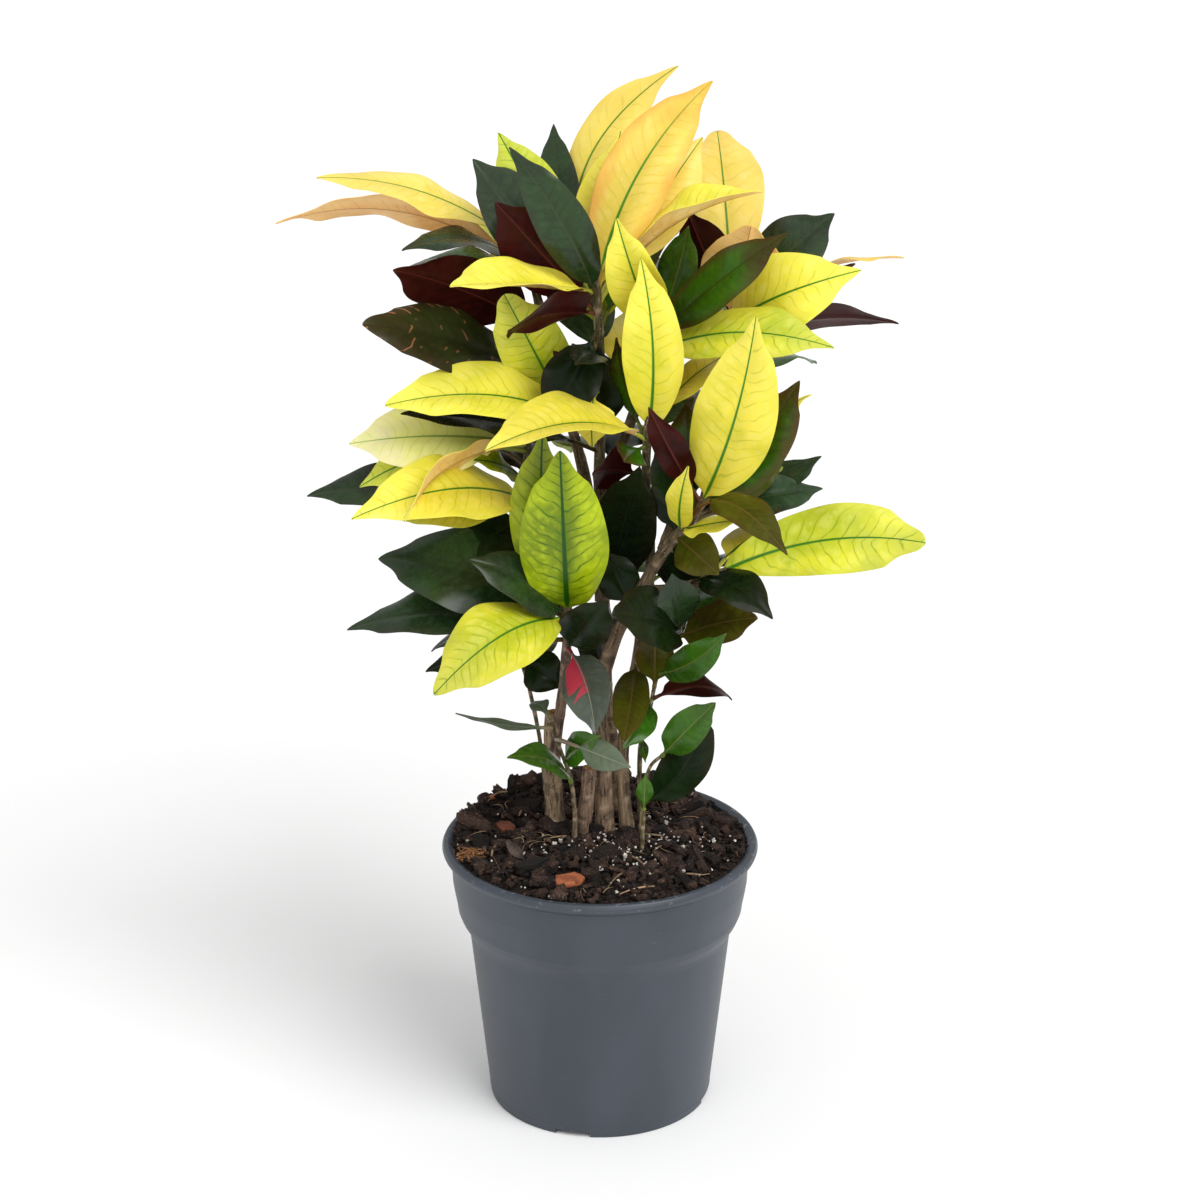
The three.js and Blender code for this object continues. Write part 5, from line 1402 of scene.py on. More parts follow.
@dataclass(frozen=True)
class StemForm:
    """How every stem is shaped: a bark tube with lumps, ridges and the scars of fallen leaves.

    Attributes:
        sides: How many points go round it.
        ring_step: Distance between two rings of points.
        scar_step: Distance between two leaf scars.
        scar_turn: Angle between two leaf scars, in degrees: the golden angle.
        scar_size: Height and width of a scar.
        scar_rise: How far a scar stands out of a thick stem.
        flare: How much thicker the stem is where it enters the mix, as a share.
        flare_lengths: Length over which that fades, over the mix and out of another stem.
        cut_rings: Rings of a cut end: share of the radius, and height over the end.
        bud_rings: Rings of a growing tip, in the same way.
        bark_rings: How many of a cut end's rings are still bark.
        greening: Height over the mix at which the rise that the bark reads is 1.
        young_radius: Radius under which a stem's bark starts to look young over its whole length.
        young_range: How much thinner a stem is whose bark looks fully young.
    """

    sides: int = 20
    ring_step: float = 1.5
    scar_step: float = 8.0
    scar_turn: float = 137.5
    scar_size: Pair = (1.6, 2.4)
    scar_rise: float = 0.35
    flare: float = 0.28
    flare_lengths: Pair = (7.0, 8.0)
    cut_rings: tuple[Pair, ...] = (
        (1.0, 0.2), (0.93, 0.5), (0.84, 0.35), (0.7, 0.2), (0.5, 0.25), (0.3, 0.15), (0.16, -0.5),
        (0.06, -0.6))
    bud_rings: tuple[Pair, ...] = ((0.9, 1.5), (0.75, 4), (0.5, 7.5), (0.2, 10.5))
    bark_rings: int = 3
    greening: float = 380.0
    young_radius: float = 3.2
    young_range: float = 2.5

    def add(self, form: Form, stem: Stem, is_cut: bool, seed: float) -> None:
        """Adds one stem to a piece.

        Args:
            form: The piece.
            stem: The stem.
            is_cut: Whether it ends in a cut, and not in a growing tip.
            seed: A number that makes its bark its own.
        """
        rough = stem.curve(np.linspace(0, 1, 200))
        length = float(np.linalg.norm(np.diff(rough, axis=0), axis=1).sum())
        share = np.linspace(0, 1, max(8, round(length / self.ring_step)))
        line = stem.curve(share)
        ahead = unit(np.gradient(line, axis=0))
        at = share * length
        base = np.interp(share, [0, 1], stem.radii)
        over_mix, over_fork = self.flare_lengths
        if stem.parent is None:
            base = base * (1 + self.flare * np.exp(-np.maximum(0, line[:, 2] - SOIL_LEVEL) / over_mix))
        else:
            base = base * (1 + self.flare * np.exp(-at / over_fork))
        last = len(share) - 1
        first_wood = len(share) + self.bark_rings
        for factor, rise in self.cut_rings if is_cut else self.bud_rings:
            line = np.vstack([line, line[last] + ahead[last] * rise])
            base = np.append(base, base[last] * factor)
            ahead = np.vstack([ahead, ahead[last]])
            at = np.append(at, length + rise)

        right = unit(np.cross(ahead, [0.0, 1.0, 0.0]))
        front = np.cross(ahead, right)
        theta = np.arange(self.sides) * 2 * math.pi / self.sides
        along, turn = np.meshgrid(at, theta, indexing="ij")
        # Lumps and ridges, as shares of the radius.
        lumps = (0.05 * np.sin(3 * turn + along / 23 + 9 * seed) + 0.04 * np.sin(along / 5.5 + 20 * seed)
                 + 0.035 * np.sin(5 * turn - along / 9 + 5 * seed)
                 + 0.02 * np.sin(7 * turn + 2 * np.sin(along / 14 + seed)))
        scars = np.zeros_like(along)
        tall, wide = self.scar_size
        for number in range(int(length / self.scar_step)):
            middle = math.radians(self.scar_turn * number + 360 * seed)
            away = (turn - middle + math.pi) % (2 * math.pi) - math.pi
            scars += np.exp(-(((along - number * self.scar_step) / tall) ** 2)
                            - (away * base[:, None] / wide) ** 2)
        raised = self.scar_rise * np.minimum(scars, 1) * np.minimum(1, base / 4)[:, None]
        radius = base[:, None] * (1 + lumps) + raised
        cos, sin = np.cos(turn)[..., None], np.sin(turn)[..., None]
        points = line[:, None] + radius[..., None] * (cos * right[:, None] + sin * front[:, None])

        rings = len(line)
        faces = closed_faces(rings, self.sides)
        walls = (rings - 1) * self.sides
        number = np.arange(len(faces))
        is_top = number >= (walls + len(faces)) // 2
        is_wood = is_cut & (is_top | ((number < walls) & (number // self.sides >= first_wood)))
        place = np.stack([along, radius * np.cos(turn), radius * np.sin(turn) + 90 * seed], -1)
        rise = (line[:, 2] - SOIL_LEVEL) / self.greening
        # Thin stems are young ones: their bark is still green.
        young = np.clip((self.young_radius - base) / self.young_range, 0, 1)
        young = young * (np.arange(rings) < first_wood)
        rise = np.clip(rise + young, 0, 1)
        form.add(points, faces, is_wood.astype(int), place=place.reshape(-1, 3),
                 rise=np.repeat(rise, self.sides), scar=np.clip(scars, 0, 1).ravel(), tone=seed,
                 from_heart=radius.ravel())


@dataclass(frozen=True)
class Plant:
    """Stems that grow together as one body, with their leaves.

    Attributes:
        node: The CAD node that it stands for.
        stems: Its stems, by name.
        cut: Those that end in a cut.
    """

    node: str
    stems: tuple[str, ...]
    cut: tuple[str, ...] = ()

    def leaves(self) -> list[Leaf]:
        """All leaves on its stems, where they grow."""
        return [row.grow(STEMS[name]) for name in self.stems
                for table in (NEAR_LEAVES, FAR_LEAVES) for row in table.get(name, ())]

    def build_leaves(self, finishes: dict[Kind, list[bpy.types.Material]], form_of_leaf: LeafForm) -> None:
        """Makes one piece of the leaves of each kind.

        Args:
            finishes: The upper and the under material of each kind.
            form_of_leaf: How a leaf is shaped.
        """
        draw = random.Random(self.node)
        grown = self.leaves()
        for kind in Kind:
            alike = [leaf for leaf in grown if leaf.kind is kind]
            if not alike:
                continue
            form = Form()
            # The flat map has one cell for each leaf, in columns and rows.
            across = math.ceil(math.sqrt(1.4 * len(alike)))
            up = math.ceil(len(alike) / across)
            for number, leaf in enumerate(alike):
                cell = (number % across / across, number // across / up, 1 / across, 1 / up)
                form_of_leaf.add(form, leaf, draw, cell)
            form.build(f"{self.node}_{kind.value}_leaves", finishes[kind], "foliage", self.node)

    def build_wood(self, materials: list[bpy.types.Material], form_of_stem: StemForm) -> None:
        """Makes one piece of its stems.

        Args:
            materials: The bark and the cut wood.
            form_of_stem: How a stem is shaped.
        """
        draw = random.Random(self.node + "_wood")
        form = Form()
        for name in self.stems:
            form_of_stem.add(form, STEMS[name], name in self.cut, draw.random())
        form.build(f"{self.node}_wood", materials, "bark", self.node)


PLANTS: tuple[Plant, ...] = (
    Plant("tall_stem", ("center", "topleft", "middle")),
    Plant("right_stem", ("trunk", "lowright", "topright")),
    Plant("middle_stem", ("front",)),
    Plant("left_stem", ("left", "leftup", "midleft"), cut=("left",)),
    Plant("cut_stub", ("stub",), cut=("stub",)),
    Plant("left_shoot", ("shootL",)),
    Plant("left_rear_shoot", ("thinL",)),
    Plant("right_shoot", ("shootR",)),
    Plant("low_right_shoot", ("lowR",)),
    Plant("seedling", ("tiny",)),
)


# ---- The mix and what lies on it ----


def mix_height(x: float, y: float) -> float:
    """Height of the mix at a place: a low mound, with a heap along the rear wall."""
    radius = math.hypot(x, y)
    azimuth = math.degrees(math.atan2(y, x)) % 360
    crest = np.interp(azimuth, *zip(*HEAP_CREST))
    slope = math.exp(-(((radius - HEAP_RADIUS) / HEAP_SPREAD) ** 2))
    heap = crest * slope * min(1, max(0, (MIX_RADIUS - radius) / HEAP_FADE))
    return MIX_MIDDLE - MIX_DROP * (radius / MIX_RADIUS) ** 2 + heap


def lathe_points(rows: list[Pair], sides: int) -> Array:
    """Turns a profile round the pot's middle line.

    Args:
        rows: Radius and height of each ring.
        sides: How many points each ring has.

    Returns:
        The points, ring by ring.
    """
    theta = np.arange(sides) * 2 * math.pi / sides
    ring = np.stack([np.cos(theta), np.sin(theta)], -1)
    return np.array([[*(ring[i] * radius), height] for radius, height in rows for i in range(sides)])


ROUNDING = 0.22  # how far the corners of a lump are drawn in


def lump(half_sizes: Vector, grid: int, ragged: float, draw: random.Random) -> tuple[Array, Array]:
    """Makes a ragged block, such as a chip of bark.

    Args:
        half_sizes: Half of its length, width and height.
        grid: How many faces each of its edges is cut into.
        ragged: How far its points are thrown about, as a share of its sizes.
        draw: Where the throws come from.

    Returns:
        Its points round its own middle, and its faces.
    """
    index: dict[tuple[int, ...], int] = {}
    points: list[tuple[float, ...]] = []
    faces: list[list[int]] = []

    def corner(spot: tuple[int, ...]) -> int:
        """The number of the point at a place of the grid."""
        if spot not in index:
            index[spot] = len(points)
            ball = Vector([2 * s / grid - 1 for s in spot])
            soft = ball * (1 - ROUNDING * (ball.length - 1))
            points.append(tuple(half * (share + ragged * draw.uniform(-1, 1))
                                for half, share in zip(half_sizes, soft)))
        return index[spot]

    for axis in range(3):
        one, two = (axis + 1) % 3, (axis + 2) % 3
        for end in (0, grid):
            for i in range(grid):
                for j in range(grid):
                    spots = []
                    for step_one, step_two in ((0, 0), (1, 0), (1, 1), (0, 1)):
                        spot = [0, 0, 0]
                        spot[axis], spot[one], spot[two] = end, i + step_one, j + step_two
                        spots.append(corner(tuple(spot)))
                    faces.append(spots if end else spots[::-1])
    return np.array(points), np.array(faces)


def add_tube(form: Form, line: Array, radii: Array, sides: int, tone: float) -> None:
    """Adds a thin round strand with closed ends.

    Args:
        form: The piece.
        line: The points of its middle line.
        radii: Its radius at each of them.
        sides: How many points go round it.
        tone: Its tone.
    """
    ahead = unit(np.gradient(line, axis=0))
    right = unit(np.cross(ahead, [0.05, 0.1, 1.0]))
    front = np.cross(ahead, right)
    theta = (np.arange(sides) * 2 * math.pi / sides)[None, :, None]
    ring = np.cos(theta) * right[:, None] + np.sin(theta) * front[:, None]
    points = line[:, None] + ring * radii[:, None, None]
    form.add(points, closed_faces(len(line), sides), tone=tone)


@dataclass(frozen=True)
class PottingMix:
    """Bark, peat and perlite, filled to just under the lip, with what lies on them.

    Attributes:
        rings: How many rings of points the bed has.
        sides: How many points each has.
        depth: Height of the bed's underside.
        settled: How far the bed lies under the mix's height, which chips and crumbs fill up.
        swell: Height and width of the bed's swellings, from the broadest to the finest.
        thick: Middle and spread, in x and in y, of the ground where perlite lies thick.
        chips: How many bark chips lie on it.
        chip: Length of the shortest chip, spread of the lengths, and the longest one's length.
        crumbs: How many crumbs of peat do.
        crumb: Half of the smallest crumb's size, and spread of the sizes.
        grains: How many grains of perlite do.
        grain: Half of the smallest grain's size, and spread of the sizes.
        fibres: How many dry root fibres do.
        fibre_radii: Radius of a fibre and of a thin twig.
        steps: How many points the middle line of a fibre or strand has.
        strands: How many strands the tuft of coir has.
        strand_radius: Radius of one of them.
        tuft: Where the tuft lies.
        tuft_spread: How far its strands lie from its middle.
        shard: Where the shard of a dried leaf lies.
        shard_halves: Half of its length, width and thickness.
        clay: Place and size of each crumb of clay.
        bare: Place and reach of each clay chip, which stays uncovered.
        seed: Seeds the random draws.
    """

    rings: int = 104
    sides: int = 300
    depth: float = 165.0
    settled: float = 1.6
    swell: tuple[Pair, ...] = ((2.2, 9.0), (1.3, 3.5), (0.6, 1.3))
    thick: tuple[Pair, ...] = ((14, 34), (-22, 22))
    chips: int = 900
    chip: Triple = (4.2, 0.62, 24.0)
    crumbs: int = 2600
    crumb: Pair = (0.5, 0.55)
    grains: int = 330
    grain: Pair = (0.36, 0.5)
    fibres: int = 64
    fibre_radii: Pair = (0.28, 0.75)
    steps: int = 12
    strands: int = 60
    strand_radius: float = 0.36
    tuft: Pair = (-86.0, -31.0)
    tuft_spread: float = 4.0
    shard: Pair = (-55.0, -34.0)
    shard_halves: Triple = (15.0, 3.6, 0.35)
    clay: tuple[Triple, ...] = (
        (-74, 42, 5.0), (33, 76, 5.0), (-15, -74, 2.2), (-23, -77, 1.6), (52, -48, 1.8))
    bare: tuple[Triple, ...] = ((-20, -68, 11), (-64, 12, 8))
    seed: int = 11

    def build(self) -> None:
        """Makes the bed and everything that lies on it."""
        draw = random.Random(self.seed)
        self.build_bed()
        self.build_chips(draw)
        self.build_crumbs(draw)
        self.build_grains(draw)
        self.build_fibres(draw)
        self.build_tuft(draw)
        self.build_shard(draw)
        self.build_clay_crumbs(draw)

    def build_bed(self) -> None:
        """The bed: one closed body with a crumbly top."""
        edge = MIX_RADIUS
        buried = [(1.0, self.depth), (edge - 8, self.depth), (edge - 3.4, 176.0)]
        rows = buried + [(radius, -self.settled) for radius in np.linspace(edge, 0.8, self.rings)]
        points = lathe_points(rows, self.sides)
        for point in points[len(buried) * self.sides :]:
            point[2] += mix_height(point[0], point[1])
            place = Vector(point)
            point[2] += sum(tall * noise.noise(place / wide) for tall, wide in self.swell)
        form = Form()
        form.add(points, closed_faces(len(rows), self.sides), tone=0.4)
        self.lay(form, "mix_bed", PEAT)

    @staticmethod
    def lay(form: Form, name: str, finish: Crumble, **shading: bool | float) -> None:
        """Makes a piece that is part of the mix, in a material of its own."""
        form.build(name, [finish.material()], "potting_mix", "potting_mix", **shading)

    def spot(self, draw: random.Random, clear: float, near_stems: float = 0.0) -> Vector:
        """Draws a place on top of the mix.

        Args:
            draw: Where it comes from.
            clear: How far it stays from the pot's wall.
            near_stems: Share of the draws that fall round the stems and to their right.

        Returns:
            The place.
        """
        while True:
            if draw.random() < near_stems:
                x, y = (draw.gauss(*ground) for ground in self.thick)
            else:
                x, y = (draw.uniform(-MIX_RADIUS, MIX_RADIUS) for _ in range(2))
            radius = math.hypot(x, y)
            covers = any(math.hypot(x - a, y - b) < reach + 0.6 * clear for a, b, reach in self.bare)
            if radius < MIX_RADIUS - clear and not covers:
                return Vector((x, y, mix_height(x, y)))

    def scatter(self, form: Form, points: Array, faces: Array, place: Vector, tip: float,
                draw: random.Random) -> None:
        """Adds a piece to a form, turned at random.

        Args:
            form: The form.
            points: The piece's points round its own middle.
            faces: Its faces.
            place: Where its middle goes.
            tip: How far it may tip over, in degrees.
            draw: Where the turn comes from.
        """
        tips = [math.radians(draw.gauss(0, tip)) for _ in range(2)]
        turn = Euler((*tips, draw.uniform(0, 2 * math.pi))).to_matrix()
        form.add(points @ np.array(turn).T + np.array(place), faces, tone=draw.random())

    def build_chips(self, draw: random.Random) -> None:
        """Chips of composted bark, longer than wide, lying every way."""
        form = Form()
        shortest, spread, longest = self.chip
        for _ in range(self.chips):
            length = min(longest, shortest * math.exp(abs(draw.gauss(0, spread))))
            wide = length * draw.uniform(0.3, 0.65)
            tall = min(6.0, wide * draw.uniform(0.5, 1.1))
            place = self.spot(draw, clear=length / 2 + 1)
            place.z += draw.uniform(-1.0, 2.2) + tall / 6
            points, faces = lump(Vector((length, wide, tall)) / 2, 3, 0.22, draw)
            self.scatter(form, points, faces, place, 24, draw)
        self.lay(form, "bark_chips", BARK_CHIPS, crease=40)

    def build_crumbs(self, draw: random.Random) -> None:
        """Crumbs of peat and bark dust between the chips."""
        form = Form()
        least, spread = self.crumb
        for _ in range(self.crumbs):
            size = least * math.exp(abs(draw.gauss(0, spread)))
            place = self.spot(draw, clear=size + 1)
            place.z += draw.uniform(-1.2, 1.0)
            halves = Vector([size * draw.uniform(0.7, 1.5) for _ in range(3)])
            points, faces = lump(halves, 1, 0.25, draw)
            self.scatter(form, points, faces, place, 40, draw)
        self.lay(form, "peat_crumbs", PEAT, smooth=False)

    def build_grains(self, draw: random.Random) -> None:
        """Grains of perlite, most of them round the stems and to their right."""
        form = Form()
        least, spread = self.grain
        for _ in range(self.grains):
            size = least * math.exp(abs(draw.gauss(0, spread)))
            place = self.spot(draw, clear=4, near_stems=0.7)
            place.z += draw.uniform(0.4, 3.2)
            halves = Vector([size * draw.uniform(0.8, 1.25) for _ in range(3)])
            points, faces = lump(halves, 2, 0.42, draw)
            self.scatter(form, points, faces, place, 60, draw)
        self.lay(form, "perlite_grains", PERLITE, smooth=False)

    def strand(self, form: Form, place: Vector, length: float, radius: float, curl: float,
               draw: random.Random) -> None:
        """Adds one curved strand that lies on the mix.

        Args:
            form: The piece.
            place: Its middle.
            length: Its length.
            radius: Its radius.
            curl: How strongly it bends, in radians from end to end.
            draw: Where its turn comes from.
        """
        heading = draw.uniform(0, 2 * math.pi)
        bend = draw.uniform(-curl, curl)
        rise = draw.uniform(0.2, 1.8)
        line = []
        x = y = 0.0
        for number in range(self.steps):
            share = number / (self.steps - 1)
            line.append((x, y, rise * math.sin(math.pi * share) - 0.5))
            x += length / self.steps * math.cos(heading + bend * share)
            y += length / self.steps * math.sin(heading + bend * share)
        line = np.array(line) + np.array(place) - np.array([x, y, 0]) / 2
        # What would reach past the pot's wall is drawn in.
        away = np.maximum(np.hypot(line[:, 0], line[:, 1]) / (MIX_RADIUS - 1), 1)
        line[:, :2] /= away[:, None]
        radii = radius * np.interp(np.arange(self.steps), [0, 3, self.steps - 1], [0.6, 1, 0.4])
        add_tube(form, line, radii, 6, draw.random())

    def build_fibres(self, draw: random.Random) -> None:
        """Dry fibres and thin twigs that lie loose on the mix."""
        form = Form()
        for number in range(self.fibres):
            is_twig = number % 5 == 0
            place = self.spot(draw, clear=12)
            place.z += draw.uniform(1.5, 3.0)
            length = draw.uniform(10, 30)
            curl = 0.5 if is_twig else 2.0
            self.strand(form, place, length, self.fibre_radii[is_twig], curl, draw)
        self.lay(form, "root_fibres", ROOT_FIBRE)

    def build_tuft(self, draw: random.Random) -> None:
        """A tuft of coir against the wall, at the left."""
        form = Form()
        for _ in range(self.strands):
            x, y = (middle + draw.gauss(0, self.tuft_spread) for middle in self.tuft)
            place = Vector((x, y, mix_height(x, y) + draw.uniform(0.5, 4.5)))
            length = draw.uniform(8, 18)
            self.strand(form, place, length, self.strand_radius, 3.0, draw)
        self.lay(form, "coir_tuft", COIR)

    def build_shard(self, draw: random.Random) -> None:
        """A silvery shard of a dried leaf, curled along its length."""
        points, faces = lump(Vector(self.shard_halves), 8, 0.02, draw)
        points[:, 2] += 0.16 * points[:, 1] ** 2 + 0.01 * points[:, 0] ** 2
        points[:, 1] *= 1.02 - (points[:, 0] / self.shard_halves[0]) ** 2
        turn = np.array(Euler((0.5, 0.05, math.radians(-66))).to_matrix())
        place = np.array([*self.shard, mix_height(*self.shard) + 3.2])
        form = Form()
        form.add(points @ turn.T + place, faces, tone=0.5)
        self.lay(form, "dried_leaf_shard", DRY_LEAF)

    def build_clay_crumbs(self, draw: random.Random) -> None:
        """Crumbs of the same red clay as the two chips."""
        form = Form()
        for x, y, size in self.clay:
            points, faces = lump(Vector((size, size * 0.7, size * 0.4)) / 2, 3, 0.15, draw)
            place = Vector((x, y, mix_height(x, y) + 2.2))
            self.scatter(form, points, faces, place, 12, draw)
        form.build("clay_crumbs", [CLAY.material()], "clay_chip", "potting_mix", crease=40)


@dataclass(frozen=True)
class ClayChip:
    """A flat chip of fired clay that lies on the mix.

    Attributes:
        node: The CAD node that it stands for.
        place: Where its middle lies.
        turn: How it is turned, in degrees.
        size: Half of its length.
        finish: What it is made of.
        thickness: Its thickness.
        sunk: How deep it has sunk into the mix.
        outline: Its corners, as shares of its size.
        sides: How many points go round it.
    """

    node: str
    place: Pair
    turn: float
    size: float
    finish: Crumble
    thickness: float = 4.0
    sunk: float = 2.2
    outline: tuple[Pair, ...] = (
        (-1, -0.35), (-0.45, -0.7), (0.5, -0.6), (1, 0.05), (0.55, 0.65), (-0.6, 0.6))
    sides: int = 60

    def build(self) -> None:
        """Makes the chip, with worn edges and broken corners."""
        corners = np.array([*self.outline, self.outline[0]]) * self.size
        spread = np.linspace(0, len(self.outline), self.sides, endpoint=False)
        rim = np.stack([np.interp(spread, np.arange(len(corners)), corners[:, k]) for k in (0, 1)], -1)
        top = self.thickness
        # Share of the outline and height of each ring, from the middle of the underside to the top's.
        rows = [(0.04, 0), (0.5, 0), (0.9, 0.1), (0.99, 0.7), (1, top / 2), (0.985, top - 0.7),
                (0.93, top - 0.1), (0.75, top), (0.5, top), (0.25, top), (0.04, top)]
        points = np.array([[*(rim[i] * share), height] for share, height in rows
                           for i in range(self.sides)])
        for point in points:
            place = Vector(point) + Vector((0, 0, self.size * 7))
            rough = noise.noise(place / 3.2) * 0.5 + noise.noise(place / 1.1) * 0.22
            point[:2] *= 1 + 0.06 * rough - 0.03
            point[2] += 0.5 * rough
        turn = math.radians(self.turn)
        cos, sin = math.cos(turn), math.sin(turn)
        spin = np.array([[cos, -sin, 0], [sin, cos, 0], [0, 0, 1]])
        floor = mix_height(*self.place) - self.sunk
        points = points @ spin.T + np.array([*self.place, floor])
        form = Form()
        form.add(points, closed_faces(len(rows), self.sides), tone=0.5)
        form.build(f"{self.node}_fired", [self.finish.material()], "clay_chip", self.node, crease=50)


# ---- The pot ----


@dataclass(frozen=True)
class NurseryPot:
    """A tapered pot of thin moulded plastic with a stepped collar and a rolled lip.

    Attributes:
        outside: Radius and height of each corner, from the middle of the underside to the lip.
        inside: The same from the lip down to the floor.
        fillet: Radius of the mould's rounded corners.
        sides: How many points go round it.
        drains: How many drain holes there are.
        drain_circle: Distance of the drain holes from the middle.
        drain_radius: Radius of a drain hole.
        drain_reach: Heights between which the drain holes are cut.
        drain_sides: How many points go round a drain hole.
        notches: Directions of the notches in the foot ring, in degrees from +X.
        notch: Width, length and height of a notch.
        crease: Edges sharper than this many degrees stay sharp.
    """

    outside: tuple[Pair, ...] = (
        (0.5, 0), (20, 0), (20, 3), (65, 3), (65, 0), (75, 0), (75.6, 5.2), (75.95, 5.5), (75.75, 6.2),
        (88, 120.5), (88.5, 122.8), (89.4, 125.5), (91.2, 128.2), (93.5, 131.8), (95.7, 137.4),
        (96.3, 142.5), (97.9, 151), (99, 158), (99.8, 175), (105, 179.2), (106, 182),
        (104.6, 185.1), (102.5, 185.5))
    inside: tuple[Pair, ...] = (
        (98.4, 183.6), (97.9, 176), (97.1, 158), (94.1, 143), (92.6, 135), (89.1, 129),
        (87.4, 126), (86.1, 120.5), (73.6, 5), (0.5, 5))
    fillet: float = 0.9
    sides: int = 288
    drains: int = 8
    drain_circle: float = 45.0
    drain_radius: float = 5.0
    drain_reach: Pair = (-4.0, 10.0)
    drain_sides: int = 32
    notches: tuple[float, ...] = (-104, -14, 76, 166)
    notch: Triple = (24, 30, 3.5)
    crease: float = 35.0

    def profile(self) -> list[Pair]:
        """The section, with each corner rounded by a small arc."""
        corners = [Vector(corner) for corner in (*self.outside, *self.inside)]
        rounded = [tuple(corners[0])]
        for before, here, after in zip(corners, corners[1:], corners[2:]):
            back, on = before - here, after - here
            reach = min(self.fillet, back.length * 0.45, on.length * 0.45)
            start, end = here + back.normalized() * reach, here + on.normalized() * reach
            for share in (0, 0.25, 0.5, 0.75, 1):
                bend = start.lerp(here, share).lerp(here.lerp(end, share), share)
                rounded.append(tuple(bend))
        rounded.append(tuple(corners[-1]))
        return rounded

    def cutter(self) -> bpy.types.Object:
        """The drain holes and the notches as solids to cut away."""
        form = Form()
        wide, long, tall = self.notch
        halves = np.array([long, wide, 2 * tall]) / 2
        foot_radius = self.outside[5][0]
        # The signs of a lump's eight corners are those of a plain box.
        points, faces = lump(Vector(halves), 1, 0.0, random.Random(0))
        for degrees in self.notches:
            turn = math.radians(degrees)
            spin = np.array(Euler((0, 0, turn)).to_matrix())
            middle = np.array([math.cos(turn), math.sin(turn), 0]) * foot_radius
            form.add(np.sign(points) * halves @ spin.T + middle, faces)
        for number in range(self.drains):
            turn = (number + 0.5) * 2 * math.pi / self.drains
            hole = lathe_points([(self.drain_radius, height) for height in self.drain_reach],
                                self.drain_sides)
            middle = np.array([math.cos(turn), math.sin(turn), 0]) * self.drain_circle
            form.add(hole + middle, closed_faces(2, self.drain_sides))
        mesh = bpy.data.meshes.new("pot_cutter")
        mesh.from_pydata((np.concatenate(form.points) * METRES).tolist(), [], form.faces)
        return linked("pot_cutter", mesh)

    def build(self) -> None:
        """Turns the section, cuts the holes and dresses the pot."""
        rows = self.profile()
        form = Form()
        form.add(lathe_points(rows, self.sides), closed_faces(len(rows), self.sides))
        piece = form.build("pot_shell", [PotPlastic().material()], "pot_plastic", "pot")
        cutter = self.cutter()
        cut = piece.modifiers.new("holes", "BOOLEAN")
        cut.object = cutter
        cut.operation = "DIFFERENCE"
        cut.solver = "EXACT"
        graph = bpy.context.evaluated_depsgraph_get()
        whole = piece.data
        piece.data = bpy.data.meshes.new_from_object(piece.evaluated_get(graph), depsgraph=graph)
        piece.data.name = "pot_shell"
        piece.modifiers.clear()
        bpy.data.objects.remove(cutter)
        bpy.data.meshes.remove(whole)
        piece.data.set_sharp_from_angle(angle=math.radians(self.crease))


# ---- The studio ----


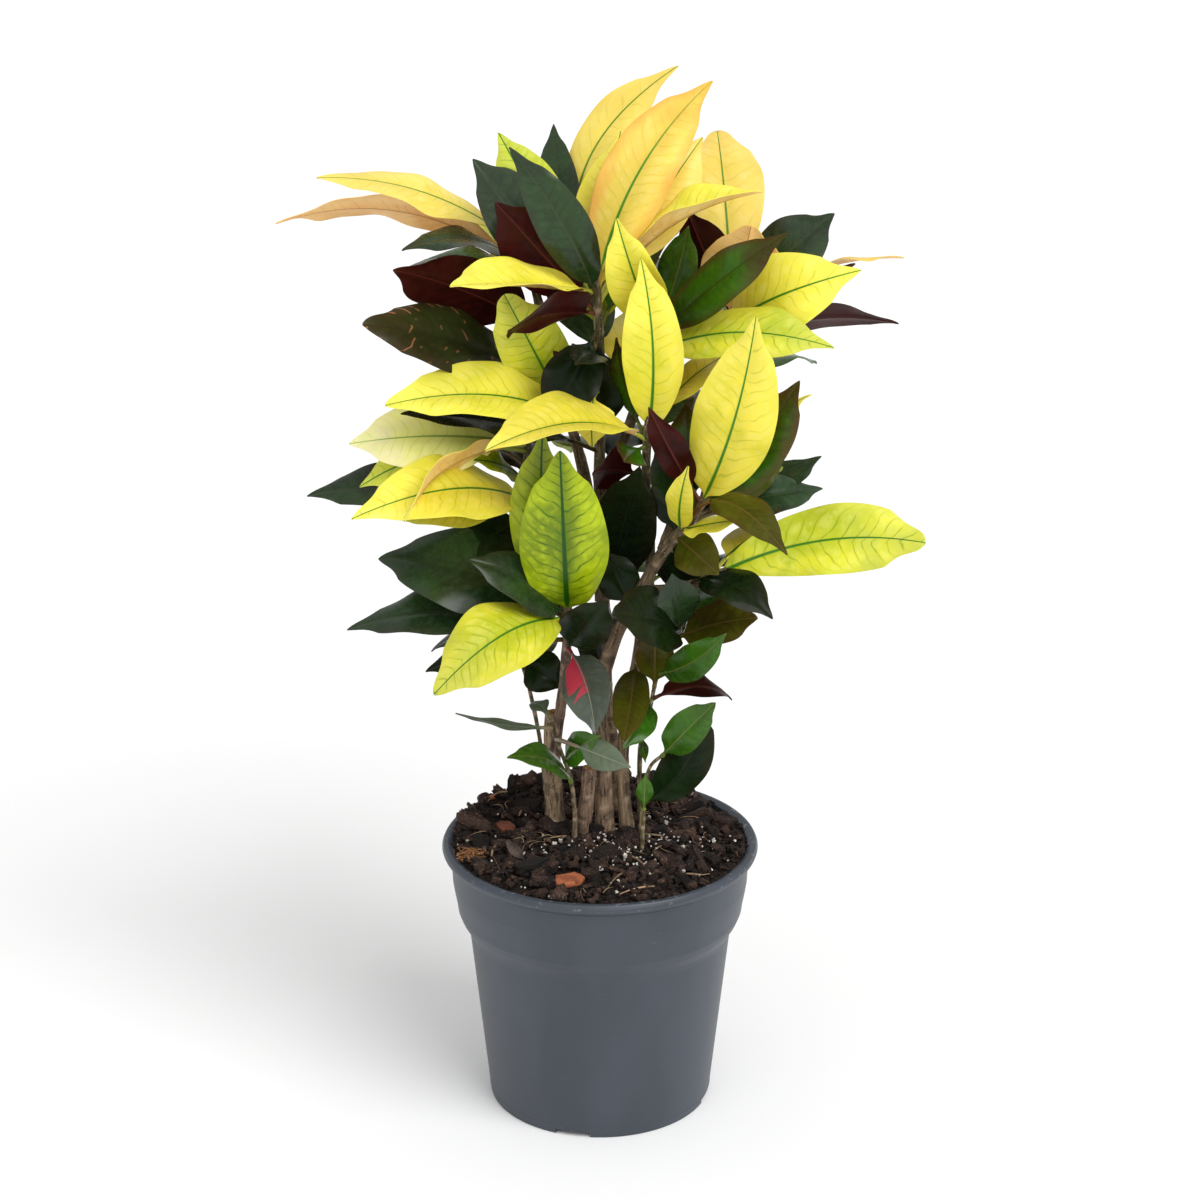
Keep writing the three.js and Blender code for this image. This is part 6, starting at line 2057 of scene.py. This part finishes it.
@dataclass(frozen=True)
class Studio:
    """A white floor under a soft key light from the front right, in metres.

    Attributes:
        floor: Side of the floor.
        floor_white: Colour of the floor.
        camera_place: Where the camera stands.
        camera_tilt: How far it looks up from straight down, in degrees.
        lens: Its focal length in millimetres, for the sensor's width.
        sensor: The sensor's width in millimetres.
        lamps: Name of each soft box, the way to it, how wide it looks from the plant in degrees,
            and its strength in watts for each square metre.
        sky: Strength of the white light from all round.
    """

    floor: float = 30.0
    floor_white: str = "#FBFBFB"
    camera_place: Triple = (0.0, -1.81, 1.003)
    camera_tilt: float = 70.3
    lens: float = 88.5
    sensor: float = 36.0
    lamps: tuple[tuple[str, Triple, float, float], ...] = (
        ("key_light", (0.47, -0.53, 0.7), 42, 2.0), ("fill_light", (-0.3, -0.85, 0.4), 70, 0.55))
    sky: float = 0.62

    def build(self) -> None:
        """Sets up the floor, the lights and the camera."""
        scene = bpy.context.scene
        scene.view_settings.view_transform = "Standard"
        self.build_floor()
        self.build_lights()
        lens = bpy.data.cameras.new("photo_camera")
        lens.lens, lens.sensor_width = self.lens, self.sensor
        camera = linked("photo_camera", lens)
        camera.location = self.camera_place
        camera.rotation_euler = (math.radians(self.camera_tilt), 0.0, 0.0)
        scene.camera = camera

    def build_floor(self) -> None:
        """A matt white floor."""
        half = self.floor / 2
        mesh = bpy.data.meshes.new("studio_floor")
        corners = [(-half, -half, 0), (half, -half, 0), (half, half, 0), (-half, half, 0)]
        mesh.from_pydata(corners, [], [(0, 1, 2, 3)])
        coat = Coat("matt_white_paper")
        mesh.materials.append(coat.close({"Base Color": linear(self.floor_white), "Roughness": 0.95}, {}))
        linked("studio_floor", mesh)

    def build_lights(self) -> None:
        """A soft box at the front right, a wider one at the front left, and a white room."""
        for name, way, spread, power in self.lamps:
            light = bpy.data.lights.new(name, "SUN")
            light.angle = math.radians(spread)
            light.energy = power
            lamp = linked(name, light)
            lamp.location = way
            lamp.rotation_euler = (-Vector(way)).to_track_quat("-Z", "Y").to_euler()
        world = bpy.data.worlds.new("white_room")
        world.use_nodes = True
        tree = world.node_tree
        tree.nodes.clear()
        sky = add_node(tree, "Background", {"Color": (1, 1, 1, 1), "Strength": self.sky})
        add_node(tree, "OutputWorld", links={"Surface": sky})
        bpy.context.scene.world = world


def main() -> None:
    """Builds the studio and then the plant, from the pot up."""
    Studio().build()
    NurseryPot().build()
    PottingMix().build()
    ClayChip("clay_chip_front", (-20, -68), 20, 12, CLAY).build()
    ClayChip("clay_chip_left", (-64, 12), 115, 9, DAMP_CLAY).build()
    wood = [Bark().material(), CutWood().material()]
    finishes = {kind: [face.material() for face in faces] for kind, faces in LEAF_FINISHES.items()}
    for plant in PLANTS:
        plant.build_wood(wood, StemForm())
        plant.build_leaves(finishes, LeafForm())


if __name__ == "__main__":
    logging.basicConfig(level=logging.INFO, format="%(message)s")
    main()
